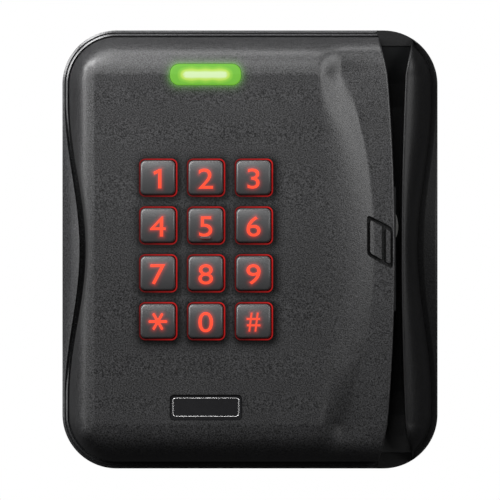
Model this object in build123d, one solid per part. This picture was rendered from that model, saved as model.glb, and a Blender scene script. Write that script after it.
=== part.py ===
from build123d import *
import os
import math

# Wall-mounted access reader: keypad on the left, magnetic stripe swipe slot on
# the right.  Millimetres.  Modelled on a bench frame (u right, v up, w out of
# the wall) and turned at the end, so that +X is right, +Z is up and the front
# faces -Y.  The origin is the centre of the wall plate's back face.

# ------------------------------------------------------------------ dimensions
BODY_W = 110.9            # overall width
BODY_H = 129.5            # overall height
R_OUT = 16.0              # outer corner radius
WALL = 2.2                # shell thickness
FIT = 0.06                # gap between fixed neighbours

PLATE_T = 1.6             # wall plate thickness
SKIRT_W0 = 0.3            # skirt stands this far off the wall
FLOOR_W0, FLOOR_W1 = 4.4, 6.4      # rear housing floor
RIM_W = 13.0              # rear housing rim
LEDGE_W1 = 14.6           # bezel ledge that the cover stands on
LIP_W = 15.2              # bezel lip height along top, bottom and corners
COVER_W0 = 15.1           # bottom of the cover's outer wall
SLOPE_W0 = 19.0           # where the rolled edge starts
FRONT_W = 31.0            # keypad plateau at mid height
LOW_W = 28.7              # swipe side of the cover at mid height
RAIL_TOP_W = 28.3         # swipe rail's highest line at mid height
ARCH_FRONT = 0.0004       # vertical arch of the plateau
ARCH_LOW = 0.0011         # vertical arch of the swipe side

COVER_V = 62.65           # cover half height
COVER_R = 14.0            # cover corner radius
COVER_UL = -53.33         # cover left edge above and below the waist
WAIST = 44.3              # half height of the waist
WAIST_L = 4.88            # waist depth of the cover's left edge
CREST_UL, CREST_DL = -55.04, 4.64  # left shoulder crest line
CREST_UR, CREST_DR = 55.02, 3.84   # right shoulder crest line
VALLEY_UR, VALLEY_DR = 53.4, 3.9   # valley between rail and right shoulder
CREASE_U = -45.8          # left crease of the plateau
CREASE_V = 51.65          # top and bottom crease of the plateau
STEP_U = 20.1             # right edge of the plateau
STEP_A, STEP_B = 16.0, 51.8        # half axes of the step's half ellipse

SLOT_UL, SLOT_KL = 42.75, 0.00081  # slot's left lip
SLOT_UR, SLOT_KR = 44.75, 0.00044  # slot's right lip
SLOT_KINK = 51.5          # where both lips open into the mouths
SLOT_END = 60.1           # end of the slot floor
SLOT_FLOOR_W = 11.5       # floor of the slot

KEY_PITCH = 14.1
KEY_CU, KEY_CV = -12.95, 0.0
KEY_CAP = 10.3
KEY_R = 1.5
KEY_TOP_W = 32.4
KEY_FLANGE = 12.4
KEY_FLANGE_W0, KEY_FLANGE_W1 = 26.95, 27.95
KEY_TRAVEL = 1.0
COLLAR_OUT, COLLAR_IN = 11.2, 10.5
APERTURE = 11.3

LENS_U, LENS_V, LENS_L, LENS_H, LENS_R = -13.1, 51.6, 21.0, 6.3, 2.7
BADGE_U, BADGE_V, BADGE_L, BADGE_H = -13.0, -46.6, 21.4, 7.6

HEAD_V, HEAD_L = 6.9, 8.3
HEAD_W0, HEAD_W1 = 17.8, 26.0
HEAD_NOSE_U, HEAD_BACK_U = 43.75, 36.0
HEAD_TRAVEL = 0.8
GUIDE_V0, GUIDE_V1 = -18.1, 18.4
GUIDE_U0, GUIDE_U1 = 40.7, 43.05

GANG_V = 83.3 / 2         # single gang box screw spacing, vertical
EURO_U = 60.3 / 2         # round wall box screw spacing, horizontal
MOUNT_HOLE_R = 2.1
WINDOW_U, WINDOW_V0, WINDOW_V1 = 20.0, -36.0, -6.0


# ------------------------------------------------------------------- outlines
def bell(v):
    return 0.5 * (1 + math.cos(math.pi * v / WAIST)) if abs(v) < WAIST else 0.0


def slot_left(v):
    a = abs(v)
    if a <= SLOT_KINK:
        return SLOT_UL - SLOT_KL * a * a
    s = a - SLOT_KINK
    return SLOT_UL - SLOT_KL * SLOT_KINK ** 2 - 0.175 * s - 0.0055 * s * s


def slot_right(v):
    a = abs(v)
    if a <= SLOT_KINK:
        return SLOT_UR + SLOT_KR * a * a
    s = a - SLOT_KINK
    return SLOT_UR + SLOT_KR * SLOT_KINK ** 2 + 0.155 * s + 0.005 * s * s


def spline_pts(fn, v0, v1, n, shift=0.0):
    return [(fn(v0 + (v1 - v0) * i / (n - 1)) + shift, v0 + (v1 - v0) * i / (n - 1)) for i in range(n)]


def left_edge(v):
    return COVER_UL + WAIST_L * bell(v)


def cover_outline(d=0.0):
    """Closed outline of the cover, inset by d."""
    r = COVER_R - d
    ul = COVER_UL + d
    vt = COVER_V - d
    cv = COVER_V - COVER_R
    cu = COVER_UL + COVER_R
    s45 = r * math.sqrt(0.5)
    e = [Spline(*spline_pts(left_edge, -WAIST, WAIST, 15, d), tangents=[(0, 1), (0, 1)]),
         Line((ul, WAIST), (ul, cv)),
         ThreePointArc((ul, cv), (cu - s45, cv + s45), (cu, vt)),
         Line((cu, vt), (slot_left(vt) - d, vt)),
         Spline(*spline_pts(slot_left, vt, SLOT_KINK, 4, -d)),
         Spline(*spline_pts(slot_left, SLOT_KINK, -SLOT_KINK, 13, -d)),
         Spline(*spline_pts(slot_left, -SLOT_KINK, -vt, 4, -d)),
         Line((slot_left(vt) - d, -vt), (cu, -vt)),
         ThreePointArc((cu, -vt), (cu - s45, -cv - s45), (ul, -cv)),
         Line((ul, -cv), (ul, -WAIST))]
    return make_face(e)


def rail_outline(d=0.0):
    """Outline of the swipe rail, inset by d on the outside and on the slot side."""
    r = R_OUT - d
    cu, cv = BODY_W / 2 - R_OUT, BODY_H / 2 - R_OUT
    # end of the slot lip on the corner arc
    v = 62.0
    for _ in range(60):
        u = slot_right(v) + d
        v = 0.5 * v + 0.5 * (cv + math.sqrt(max(r * r - (u - cu) ** 2, 0)))
    u = slot_right(v) + d
    a0 = math.atan2(v - cv, u - cu)
    am = a0 / 2
    uo = BODY_W / 2 - d
    e = [Spline(*spline_pts(slot_right, v, SLOT_KINK, 4, d)),
         Spline(*spline_pts(slot_right, SLOT_KINK, -SLOT_KINK, 13, d)),
         Spline(*spline_pts(slot_right, -SLOT_KINK, -v, 4, d)),
         ThreePointArc((u, -v), (cu + r * math.cos(am), -cv - r * math.sin(am)), (uo, -cv)),
         Line((uo, -cv), (uo, cv)),
         ThreePointArc((uo, cv), (cu + r * math.cos(am), cv + r * math.sin(am)), (u, v))]
    return make_face(e)


def prism(face, w0, w1):
    return extrude(Pos(0, 0, w0) * face, amount=w1 - w0, dir=(0, 0, 1))


def rounded(cu, cv, lu, lv, r, w0, w1):
    return prism(Pos(cu, cv, 0) * RectangleRounded(lu, lv, r), w0, w1)


def box(u0, u1, v0, v1, w0, w1):
    return Pos((u0 + u1) / 2, (v0 + v1) / 2, (w0 + w1) / 2) * Box(u1 - u0, v1 - v0, w1 - w0)


def cyl(u, v, r, w0, w1):
    return Pos(u, v, (w0 + w1) / 2) * Cylinder(r, w1 - w0)


def cyl_u(v, w, r, u0, u1):
    return Pos((u0 + u1) / 2, v, w) * Rot(0, 90, 0) * Cylinder(r, u1 - u0)


def cyl_v(u, w, r, v0, v1):
    return Pos(u, (v0 + v1) / 2, w) * Rot(90, 0, 0) * Cylinder(r, v1 - v0)


def body_prism(d, w0, w1):
    return rounded(0, 0, BODY_W - 2 * d, BODY_H - 2 * d, R_OUT - d, w0, w1)


# -------------------------------------------------------------- outer surfaces
def roll(t):
    """Rolled edge: 0 at the foot, 1 at the crease, steep at the foot."""
    return 1 - (1 - min(max(t, -0.12), 1.0)) ** 2.2 if t > 0 else 2.2 * max(t, -0.3)


def height_solid(fn, us, vs, drop=60.0, shift=0.0):
    """Solid below a height function.  us(v) gives the row of u positions."""
    pts = [[(u, v, fn(u, v) + shift) for u in us(v)] for v in vs]
    face = Face.make_surface_from_array_of_points(pts, tol=0.02, min_deg=2, max_deg=4)
    return Solid.extrude(face, Vector(0, 0, -drop))


def span(a, b, n):
    return [a + (b - a) * i / (n - 1) for i in range(n)]


def roll_pts(x0, x1, w0, w1, n=6):
    """Points of a rolled edge from the foot (x0, w0) to the crease (x1, w1)."""
    out = []
    for i in range(n):
        t = (i / (n - 1)) ** 1.5
        out.append((x0 + (x1 - x0) * t, w0 + (w1 - w0) * roll(t)))
    return out


def across_u(edges, u0, u1):
    """Extrude a v-w profile along u."""
    face = Plane(origin=(u0, 0, 0), x_dir=(0, 1, 0), z_dir=(1, 0, 0)) * make_face(edges)
    return extrude(face, amount=u1 - u0, dir=(1, 0, 0))


def along_v(edges, v0, v1):
    """Extrude a u-w profile along v."""
    face = Plane(origin=(0, v0, 0), x_dir=(1, 0, 0), z_dir=(0, -1, 0)) * make_face(edges)
    return extrude(face, amount=v1 - v0, dir=(0, 1, 0))


def arched(d, mid, arch, u0, u1):
    """Arched front with rolled top and bottom edges, inset by d."""
    vt, vc, foot = COVER_V - d, CREASE_V - 0.45 * d, SLOPE_W0 - 0.5 * d
    top, wc = mid - d, mid - d - arch * CREASE_V ** 2
    up = roll_pts(vt, vc, foot, wc)
    dn = [(-v, w) for v, w in reversed(up)]
    e = [Line((vt, 10), (vt, foot)), Spline(*up), ThreePointArc((vc, wc), (0, top), (-vc, wc)),
         Spline(*dn), Line((-vt, foot), (-vt, 10)), Line((-vt, 10), (vt, 10))]
    return across_u(e, u0, u1)


def cover_body(d=0.0, w0=COVER_W0):
    """Solid of the cover's outside (d = 0) or of its cavity (d = WALL)."""
    ul, foot, top = COVER_UL + d, SLOPE_W0 - 0.5 * d, FRONT_W - d
    uc, us, ue = CREASE_U + 0.45 * d, STEP_U - 0.35 * d, STEP_U + STEP_A - d
    low = LOW_W - d
    step = [(us + (ue - us) * k / 4, top - (top - low) * (k / 4) ** 2) for k in range(5)]
    e = [Line((ul - 3, 10), (ul - 3, foot)), Line((ul - 3, foot), (ul, foot)), Spline(*roll_pts(ul, uc, foot, top)),
         Line((uc, top), (uc, 40)), Line((uc, 40), (us, 40)), Line((us, 40), (us, top)),
         Spline(*step), Line((ue, low), (ue, 10)), Line((ue, 10), (ul - 3, 10))]
    plan = prism(cover_outline(d), w0, 36)
    zone = prism(Pos((STEP_U - d - 60) / 2, 0, 0) * Rectangle(60 + STEP_U - d, 140), 5, 38) \
        + prism(Pos(STEP_U - d, 0, 0) * Ellipse(STEP_A, STEP_B - d), 5, 38)
    high = plan & zone & arched(d, FRONT_W, ARCH_FRONT, -60, 60) & along_v(e, -70, 70)
    side = plan & box(0, 60, -70, 70, 5, 38) & arched(d, LOW_W, ARCH_LOW, -60, 60)
    return high + side


def valley_right(v):
    return VALLEY_UR - VALLEY_DR * bell(v)


def crest_right(v):
    return CREST_UR - CREST_DR * bell(v)


def rail_plan(d=0.0, w0=RIM_W, w1=36):
    """Plan of the rail's raised body: slot lip on the left, valley on the right."""
    r = R_OUT - 2.05 - d
    cu, cv = BODY_W / 2 - R_OUT, BODY_H / 2 - R_OUT
    v = 60.0
    for _ in range(60):
        u = slot_right(v) + d
        v = 0.5 * v + 0.5 * (cv + math.sqrt(max(r * r - (u - cu) ** 2, 0)))
    u = slot_right(v) + d
    am = math.atan2(v - cv, u - cu) / 2
    uo = cu + r
    vs = valley_right(WAIST) - d - uo
    e = [Spline(*spline_pts(slot_right, v, SLOT_KINK, 4, d)),
         Spline(*spline_pts(slot_right, SLOT_KINK, -SLOT_KINK, 13, d)),
         Spline(*spline_pts(slot_right, -SLOT_KINK, -v, 4, d)),
         ThreePointArc((u, -v), (cu + r * math.cos(am), -cv - r * math.sin(am)), (uo, -cv)),
         Line((uo, -cv), (uo, -WAIST)),
         Spline(*spline_pts(valley_right, -WAIST, WAIST, 15, -d - vs), tangents=[(0, 1), (0, 1)]),
         Line((uo, WAIST), (uo, cv)),
         ThreePointArc((uo, cv), (cu + r * math.cos(am), cv + r * math.sin(am)), (u, v))]
    return prism(make_face(e), w0, w1)


def rail_zone():
    """Everything inboard of the valley and of the corner rims."""
    r = R_OUT - 2.05
    cu, cv = BODY_W / 2 - R_OUT, BODY_H / 2 - R_OUT
    uo, q = cu + r, r * math.sqrt(0.5)
    vs = valley_right(WAIST) - uo
    e = [Line((35, cv + r), (cu, cv + r)), ThreePointArc((cu, cv + r), (cu + q, cv + q), (uo, cv)),
         Line((uo, cv), (uo, WAIST)),
         Spline(*spline_pts(valley_right, WAIST, -WAIST, 15, -vs), tangents=[(0, -1), (0, -1)]),
         Line((uo, -WAIST), (uo, -cv)), ThreePointArc((uo, -cv), (cu + q, -cv - q), (cu, -cv - r)),
         Line((cu, -cv - r), (35, -cv - r)), Line((35, -cv - r), (35, cv + r))]
    return prism(make_face(e), 5, 38)


def lip_zone(fn, shift, u_far, reach):
    """Region between a slot lip, shifted sideways, and u_far."""
    e = [Spline(*spline_pts(fn, reach, SLOT_KINK, 4, shift)),
         Spline(*spline_pts(fn, SLOT_KINK, -SLOT_KINK, 13, shift)),
         Spline(*spline_pts(fn, -SLOT_KINK, -reach, 4, shift)),
         Line((fn(reach) + shift, -reach), (u_far, -reach)), Line((u_far, -reach), (u_far, reach)),
         Line((u_far, reach), (fn(reach) + shift, reach))]
    return prism(make_face(e), 2, 38)


def rail_across(u_left, w_top, u_right, w_base):
    """Convex cross-section of the rail, falling from the slot lip to the valley."""
    pts = [(u_right + (u_left - u_right) * t, w_base + (w_top - w_base) * roll(t)) for t in (0, 0.1, 0.25, 0.5, 0.75, 1.0)]
    e = [Line((u_right + 4, 5), (u_right + 4, w_base)), Line((u_right + 4, w_base), (u_right, w_base)), Spline(*pts),
         Line((u_left, w_top), (u_left - 3, w_top)), Line((u_left - 3, w_top), (u_left - 3, 5)),
         Line((u_left - 3, 5), (u_right + 4, 5))]
    return along_v(e, -70, 70)


nodes = {}


def add(name, *solids):
    nodes[name] = list(solids)


# ------------------------------------------------------------------ wall plate
plate = body_prism(2.4, 0, PLATE_T)
plate -= box(-WINDOW_U, WINDOW_U, WINDOW_V0, WINDOW_V1, -1, 3)
for s in (-1, 1):
    plate -= cyl(0, s * GANG_V, MOUNT_HOLE_R, -1, 3)
    plate -= cyl(s * EURO_U, 0, MOUNT_HOLE_R, -1, 3)
for s in (-1, 1):
    plate += box(s * 12 - 5, s * 12 + 5, 50.0, 51.2, PLATE_T - 0.3, 7.4)
    plate += box(s * 12 - 5, s * 12 + 5, 51.0, 52.8, 6.5, 7.4)
plate += box(-5, 5, -62.2, -60.4, PLATE_T - 0.3, 10.5)
plate -= cyl_v(0, 7.5, 1.5, -63, -59)
add("mounting_plate", plate)

lock = cyl_v(0, 7.5, 1.9, -64.6, -62.25) + cyl_v(0, 7.5, 1.44, -62.3, -58.5)
lock -= Pos(0, -64.6, 7.5) * Rot(90, 0, 0) * extrude(RegularPolygon(1.15, 6), amount=1.2, both=True)
add("lock_screw", lock)

# ---------------------------------------------------------------- rear housing
COVER_POSTS = [(-38, 53), (-38, -53), (28, 53), (28, -53)]
RAIL_POSTS = [(49.8, 38), (49.8, 0), (49.8, -38)]
BOARD_POSTS = [(-42, 42), (34, 42), (-42, -42), (34, -42)]

housing = body_prism(0, SKIRT_W0, RIM_W) - body_prism(WALL, SKIRT_W0 - 1, FLOOR_W0) \
    - body_prism(WALL, FLOOR_W1, RIM_W + 1)
housing -= box(-WINDOW_U - 0.5, WINDOW_U + 0.5, WINDOW_V0 - 0.5, WINDOW_V1 + 0.5, 4, 7)
for s in (-1, 1):
    housing -= box(s * 12 - 5.6, s * 12 + 5.6, 48.8, 51.6, 4, 7)
housing -= box(-6.5, 6.5, -62.55, -58.5, 4, 7)
housing -= cyl_v(0, 7.5, 2.0, -66, -62)
for u, v in COVER_POSTS + RAIL_POSTS:
    housing -= cyl(u, v, 1.6, 4, 7)
for u, v in BOARD_POSTS:
    housing += cyl(u, v, 2.5, FLOOR_W1 - 0.2, 9.4)
    housing -= cyl(u, v, 1.0, 6.8, 10)
for v in (-45, -15, 15, 45):
    housing += box(39.2, 46.8, v - 1, v + 1, FLOOR_W1 - 0.2, 7.98)
housing -= cyl(25, -30, 2.5, 4, 7)
for s in (1, -1):
    block = make_face(Polyline((slot_left(60.2) + 0.08, s * 60.2), (slot_right(60.2) - 0.08, s * 60.2),
                               (slot_right(62.3) - 0.08, s * 62.35), (slot_right(62.3) - 0.08, s * 66),
                               (37.45, s * 66), (37.45, s * 64.0), (slot_left(62.7) + 0.08, s * 62.7), close=True))
    housing += prism(block, FLOOR_W1 - 0.2, LEDGE_W1) & body_prism(0, 0, 20)
add("rear_housing", housing)

# ----------------------------------------------------------------- bezel frame
keep_left = box(-60, 37.4, -70, 70, 10, 40)
frame = body_prism(0, RIM_W, LIP_W) - prism(cover_outline(-0.12), LEDGE_W1, 30) - prism(cover_outline(3.0), 10, 30)
frame &= keep_left
frame -= box(33.5, 40, -60.2, 60.2, 10, 30)


def shoulder_height(u, v):
    t = (u + BODY_W / 2) / (CREST_UL + CREST_DL * bell(v) + BODY_W / 2)
    return LIP_W - 0.1 + (3.0 * bell(v)) * max(-0.3, min(t, 1.6)) ** 1.0 + 0.12


def crest_left(v):
    return CREST_UL + CREST_DL * bell(v)


sh_us = lambda v: span(-BODY_W / 2 - 1, crest_left(v) + 1.2, 8)
shoulder_under = height_solid(shoulder_height, sh_us, span(-46, 46, 32))
edge = Spline(*spline_pts(crest_left, -42.0, 42.0, 15, 0.35))
uo = -BODY_W / 2
sh_face = make_face([edge, Line((crest_left(42) + 0.35, 42), (uo, 42)), Line((uo, 42), (uo, -42)),
                     Line((uo, -42), (crest_left(-42) + 0.35, -42))])
frame += prism(sh_face, LEDGE_W1, 30) & shoulder_under
add("bezel_frame", frame)

gasket = (prism(cover_outline(0.3), LEDGE_W1, COVER_W0) - prism(cover_outline(2.0), 10, 20)) \
    & box(-60, 33.0, -70, 70, 10, 40)
add("cover_gasket", gasket)

# ----------------------------------------------------------------- front cover
keys = []
LABELS = [["1", "2", "3"], ["4", "5", "6"], ["7", "8", "9"], ["star", "0", "hash"]]
for row in range(4):
    for col in range(3):
        keys.append((LABELS[row][col], KEY_CU + (col - 1) * KEY_PITCH, KEY_CV + (1.5 - row) * KEY_PITCH))

outer = cover_body()
cover = outer
# slot wall, down to the slot floor's flange
cover -= cover_body(WALL, COVER_W0 - 1)
strip = make_face([Spline(*spline_pts(slot_left, 59.5, SLOT_KINK, 4, 0)),
                   Spline(*spline_pts(slot_left, SLOT_KINK, -SLOT_KINK, 13, 0)),
                   Spline(*spline_pts(slot_left, -SLOT_KINK, -59.5, 4, 0)),
                   Line((slot_left(59.5), -59.5), (slot_left(59.5) - WALL, -59.5)),
                   Spline(*spline_pts(slot_left, -59.5, -SLOT_KINK, 4, -WALL)),
                   Spline(*spline_pts(slot_left, -SLOT_KINK, SLOT_KINK, 13, -WALL)),
                   Spline(*spline_pts(slot_left, SLOT_KINK, 59.5, 4, -WALL)),
                   Line((slot_left(59.5) - WALL, 59.5), (slot_left(59.5), 59.5))])
cover += prism(strip, 9.96, COVER_W0 + 2)
for u, v in COVER_POSTS:
    cover += cyl(u, v, 3.2, 6.46, 27.6 if u < 0 else 24.2)
    cover -= cyl(u, v, 1.5, 6, 17)
BOARD_HOLES = [(KEY_CU + a * 21, KEY_CV + b * 30) for a in (-1, 1) for b in (-1, 1)]
for u, v in BOARD_HOLES:
    cover += cyl(u, v, 2.0, 25.62, 29.2)
    cover -= cyl(u, v, 1.0, 25, 28.2)
for u in (-40, 15):
    for v in (-25, 25):
        cover += cyl(u, v, 1.2, 27.52, 29.2)
for s in (-1, 1):
    cover += box(LENS_U + s * 12.6 - 0.9, LENS_U + s * 12.6 + 0.9, 49.5, 53.5, 23.02, 28.2)
for _, u, v in keys:
    cover -= rounded(u, v, APERTURE, APERTURE, 1.8, 26, 40)
cover -= rounded(LENS_U, LENS_V, LENS_L + 0.16, LENS_H + 0.16, LENS_R + 0.08, 24, 40)
badge_floor = FRONT_W - ARCH_FRONT * BADGE_V ** 2 - 0.9
cover -= rounded(BADGE_U, BADGE_V, BADGE_L, BADGE_H, 1.3, badge_floor, 40)
cover -= box(38, 45, GUIDE_V0 - 0.1, GUIDE_V1 + 0.1, 9, 26.9)
# shallow engraved card outline beside the slot
card = [(34.6, 10.2), (42.27, 6.35), (42.27, -5.78), (34.6, -2.23)]
card_in = [(35.45, 8.85), (41.45, 5.85), (41.45, -4.5), (35.45, -1.7)]
groove = prism(make_face(Polyline(*card, close=True)) - make_face(Polyline(*card_in, close=True)), 28.3, 40)
groove += prism(make_face(Polyline((39.0, 8.0), (39.9, 7.55), (39.9, -4.7), (39.0, -4.25), close=True)), 28.3, 40)
cover -= groove
add("front_cover", cover)

badge = rounded(BADGE_U, BADGE_V, BADGE_L - 0.3, BADGE_H - 0.3, 1.15, badge_floor, badge_floor + 0.6)
add("badge_plate", badge)

lens = rounded(LENS_U, LENS_V, LENS_L, LENS_H, LENS_R, 24.8, 40) & (Pos(0, 0, 0.15) * outer)
lens += rounded(LENS_U, LENS_V, LENS_L + 2.0, LENS_H + 1.6, LENS_R + 0.8, 24.8, 25.6)
add("status_lens", lens)
light_board = box(LENS_U - 13.8, LENS_U + 13.8, 47.2, 56.0, 22.0, 23.0)
add("status_light_board", light_board)
add("status_leds", *[box(LENS_U + x - 1.6, LENS_U + x + 1.6, LENS_V - 1.4, LENS_V + 1.4, 23.0, 24.6) for x in (-7.5, -2.5, 2.5, 7.5)])

# ------------------------------------------------------------------ swipe rail
rail = prism(rail_outline(), RIM_W, 38) & rail_zone() & arched(0, RAIL_TOP_W, ARCH_LOW, 40, 60) & rail_across(SLOT_UR, RAIL_TOP_W, VALLEY_UR, 15.6)
rail += prism(rail_outline(), RIM_W, 15.6)


def shoulder_right(u, v):
    t = (BODY_W / 2 - u) / (BODY_W / 2 - crest_right(v))
    return 15.3 + 2.9 * bell(v) * max(-0.3, min(t, 1.6)) + 0.4


r_us = lambda v: span(crest_right(v) - 1.2, BODY_W / 2 + 1, 8)
r_under = height_solid(shoulder_right, r_us, span(-46, 46, 32))
ur = BODY_W / 2
r_face = make_face([Spline(*spline_pts(crest_right, -42.0, 42.0, 15, -0.35)),
                    Line((crest_right(42) - 0.35, 42), (ur, 42)), Line((ur, 42), (ur, -42)),
                    Line((ur, -42), (crest_right(-42) - 0.35, -42))])
rail += prism(r_face, 15.0, 30) & r_under
hollow = rail_plan(WALL, RIM_W - 1) & arched(WALL, RAIL_TOP_W, ARCH_LOW, 40, 60) \
    & rail_across(SLOT_UR, RAIL_TOP_W - WALL, VALLEY_UR - WALL, RIM_W - 0.5)
rail -= hollow & box(40, 60, 16, 58, 5, 40)
rail -= hollow & box(40, 60, -58, -16, 5, 40)
rail += prism(rail_outline(), 9.96, RIM_W + 1) & lip_zone(slot_right, WALL, 36, 57)
for u, v in RAIL_POSTS:
    rail += cyl(u, v, 2.4, 6.46, 15.0)
    rail -= cyl(u, v, 1.2, 6, 13.5)
add("swipe_rail", rail)

# ------------------------------------------------------------- slot floor, guide
mid = make_face([Spline(*spline_pts(slot_left, 60.02, SLOT_KINK, 4, 0.06)),
                 Spline(*spline_pts(slot_left, SLOT_KINK, -SLOT_KINK, 13, 0.06)),
                 Spline(*spline_pts(slot_left, -SLOT_KINK, -60.02, 4, 0.06)),
                 Line((slot_left(60.02) + 0.06, -60.02), (slot_right(60.02) - 0.06, -60.02)),
                 Spline(*spline_pts(slot_right, -60.02, -SLOT_KINK, 4, -0.06)),
                 Spline(*spline_pts(slot_right, -SLOT_KINK, SLOT_KINK, 13, -0.06)),
                 Spline(*spline_pts(slot_right, SLOT_KINK, 60.02, 4, -0.06)),
                 Line((slot_right(60.02) - 0.06, 60.02), (slot_left(60.02) + 0.06, 60.02))])
# profile of the floor along the slot: flat in the middle, rising to the mouths
w_end = 14.3
prof = Polyline((62, 8.0), (62, w_end + 0.3), (60.02, w_end), (55.0, 13.2), (49.0, 12.1), (42.0, SLOT_FLOOR_W),
                (-42.0, SLOT_FLOOR_W), (-49.0, 12.1), (-55.0, 13.2), (-60.02, w_end), (-62, w_end + 0.3), (-62, 8.0),
                close=True)
side = extrude(Plane(origin=(30, 0, 0), x_dir=(0, 1, 0), z_dir=(1, 0, 0)) * make_face(prof), amount=30)
floor_bar = prism(mid, 8.0, 20) & side
floor_bar -= box(38, 43.12, GUIDE_V0 - 0.12, GUIDE_V1 + 0.12, 9.9, 20)
floor_bar += box(38.7, 47.25, -46.4, 46.4, 8.0, 9.9)
add("slot_floor", floor_bar)

guide = box(GUIDE_U0, GUIDE_U1, GUIDE_V0, GUIDE_V1, 9.96, 26.8)
guide -= box(38, 46, HEAD_V - HEAD_L / 2 - 0.15, HEAD_V + HEAD_L / 2 + 0.15, HEAD_W0 - 0.15, HEAD_W1 + 0.15)
for v in (HEAD_V + 8.1, HEAD_V - 8.1):
    guide -= cyl_u(v, 21.9, 0.95, 40, 42.4)
add("slot_guide", guide)

# ---------------------------------------------------------------- magnetic head
head = box(HEAD_BACK_U, HEAD_NOSE_U, HEAD_V - HEAD_L / 2, HEAD_V + HEAD_L / 2, HEAD_W0, HEAD_W1)
head &= box(HEAD_BACK_U - 1, HEAD_NOSE_U - 3.5, -30, 30, 0, 40) + cyl(HEAD_NOSE_U - 9.0, HEAD_V, 9.0, 0, 40)
add("magnetic_head", head)
V0, V1 = HEAD_V - 11.0, HEAD_V + 11.0
bracket = box(33.0, 33.8, V0, V1, 18.4, 25.4) + box(33.0, 40.64, V0, V0 + 0.8, 18.4, 25.4) \
    + box(33.0, 40.64, V1 - 0.8, V1, 18.4, 25.4) + box(39.84, 40.64, V0, V0 + 5.4, 18.4, 25.4) \
    + box(39.84, 40.64, V1 - 5.4, V1, 18.4, 25.4)
for v in (HEAD_V + 8.1, HEAD_V - 8.1):
    bracket -= cyl_u(v, 21.9, 1.0, 39, 42)
add("head_bracket", bracket)
add("head_spring", box(35.8, 35.98, V0 + 0.82, V1 - 0.82, 20.0, 23.8))
add("head_screws", *[cyl_u(v, 21.9, 1.6, 38.7, 39.82) + cyl_u(v, 21.9, 0.92, 39.8, 42.2) for v in (HEAD_V + 8.1, HEAD_V - 8.1)])
add("head_flex", box(36.6, 36.8, HEAD_V - 3, HEAD_V + 3, 11.02, HEAD_W0 - 0.05))

# ----------------------------------------------------------------------- keypad
for name, u, v in keys:
    cap = rounded(u, v, KEY_CAP, KEY_CAP, KEY_R, KEY_FLANGE_W1 - 0.2, KEY_TOP_W)
    cap = fillet(cap.faces().sort_by(Axis.Z)[-1].edges(), 0.8)
    cap += rounded(u, v, KEY_FLANGE, KEY_FLANGE, 1.5, KEY_FLANGE_W0, KEY_FLANGE_W1)
    if name == "5":
        cap += Pos(u, v - 3.4, KEY_TOP_W) * Box(2.8, 0.7, 0.24)
    add("key_" + name, cap)

glow = rounded(KEY_CU, KEY_CV, 45.0, 55.2, 2.0, 28.0, 28.4)
for _, u, v in keys:
    glow += rounded(u, v, COLLAR_OUT, COLLAR_OUT, 1.75, 28.0, 31.05)
for _, u, v in keys:
    glow -= rounded(u, v, COLLAR_IN, COLLAR_IN, 1.4, 27, 33)
add("keypad_light_frame", glow)

KB_U0, KB_U1, KB_V0, KB_V1 = KEY_CU - 24, KEY_CU + 24, KEY_CV - 32, KEY_CV + 32
kboard = rounded(KEY_CU, KEY_CV, 48, 64, 2.0, 24.0, 25.6)
for u, v in BOARD_HOLES:
    kboard -= cyl(u, v, 1.2, 23, 27)
add("keypad_board", kboard)

mat = rounded(KEY_CU, KEY_CV, 45.0, 55.2, 2.0, 25.6, 26.0)
for _, u, v in keys:
    mat += Pos(u, v, (25.9 + 26.93) / 2) * Cone(4.2, 2.6, 26.93 - 25.9)
for _, u, v in keys:
    mat -= box(u + 6.0, u + 8.1, v - 1.5, v + 1.5, 25, 27)
add("dome_mat", mat)
add("backlight_leds", *[box(u + 6.45, u + 7.65, v - 1.0, v + 1.0, 25.6, 26.3) for _, u, v in keys])
add("keypad_screws", *[cyl(u, v, 1.9, 22.7, 24.0) + cyl(u, v, 0.97, 23.9, 28.0) for u, v in BOARD_HOLES])

# ------------------------------------------------------------------- main board
mboard = box(-46, 38, -46, 46, 9.4, 11.0)
for u, v in BOARD_POSTS:
    mboard -= cyl(u, v, 1.4, 9, 12)
add("main_board", mboard)
add("board_screws", *[cyl(u, v, 2.2, 11.0, 12.4) + cyl(u, v, 0.97, 6.9, 11.1) for u, v in BOARD_POSTS])
add("board_header", box(-34.4, -31.6, -10, 10, 11.0, 24.0))
add("processor_chips", box(-6, 6, 4, 16, 11.0, 12.4), box(16, 24, -4, 2, 11.0, 12.6), box(-22, -15, 22, 32, 11.0, 12.6),
    box(12, 19, 24, 29, 11.0, 12.4))
add("capacitors", cyl(-38, 26, 3.15, 11.0, 19.0), cyl(-38, 18, 3.15, 11.0, 19.0), cyl(27, -22, 4.0, 11.0, 20.0))
buzz = cyl(-26, -33, 6.0, 11.0, 17.0) - cyl(-26, -33, 1.2, 16.0, 18)
add("buzzer", buzz)
add("tamper_sensor", box(23.2, 26.8, -31.5, -28.5, 6.7, 9.4))
term = box(-18, 18, -14.8, -6.8, 3.0, 9.4)
TERM_U = [-15.75 + 4.5 * i for i in range(8)]
for u in TERM_U:
    term -= cyl(u, -9.4, 1.4, 2.5, 5.2)
    term -= box(u - 1.4, u + 1.4, -16, -12.6, 4.4, 7.4)
add("terminal_block", term)
tscrew = []
for u in TERM_U:
    tscrew.append(cyl(u, -9.4, 1.35, 3.3, 5.2) - box(u - 2, u + 2, -9.65, -9.15, 3.0, 3.8))
add("terminal_screws", *tscrew)
coil = rounded(-12.5, 0, 59, 92, 6.0, 24.5, 27.5) - rounded(-12.5, 0, 51, 84, 3.0, 24, 28)
add("prox_coil", coil)

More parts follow.
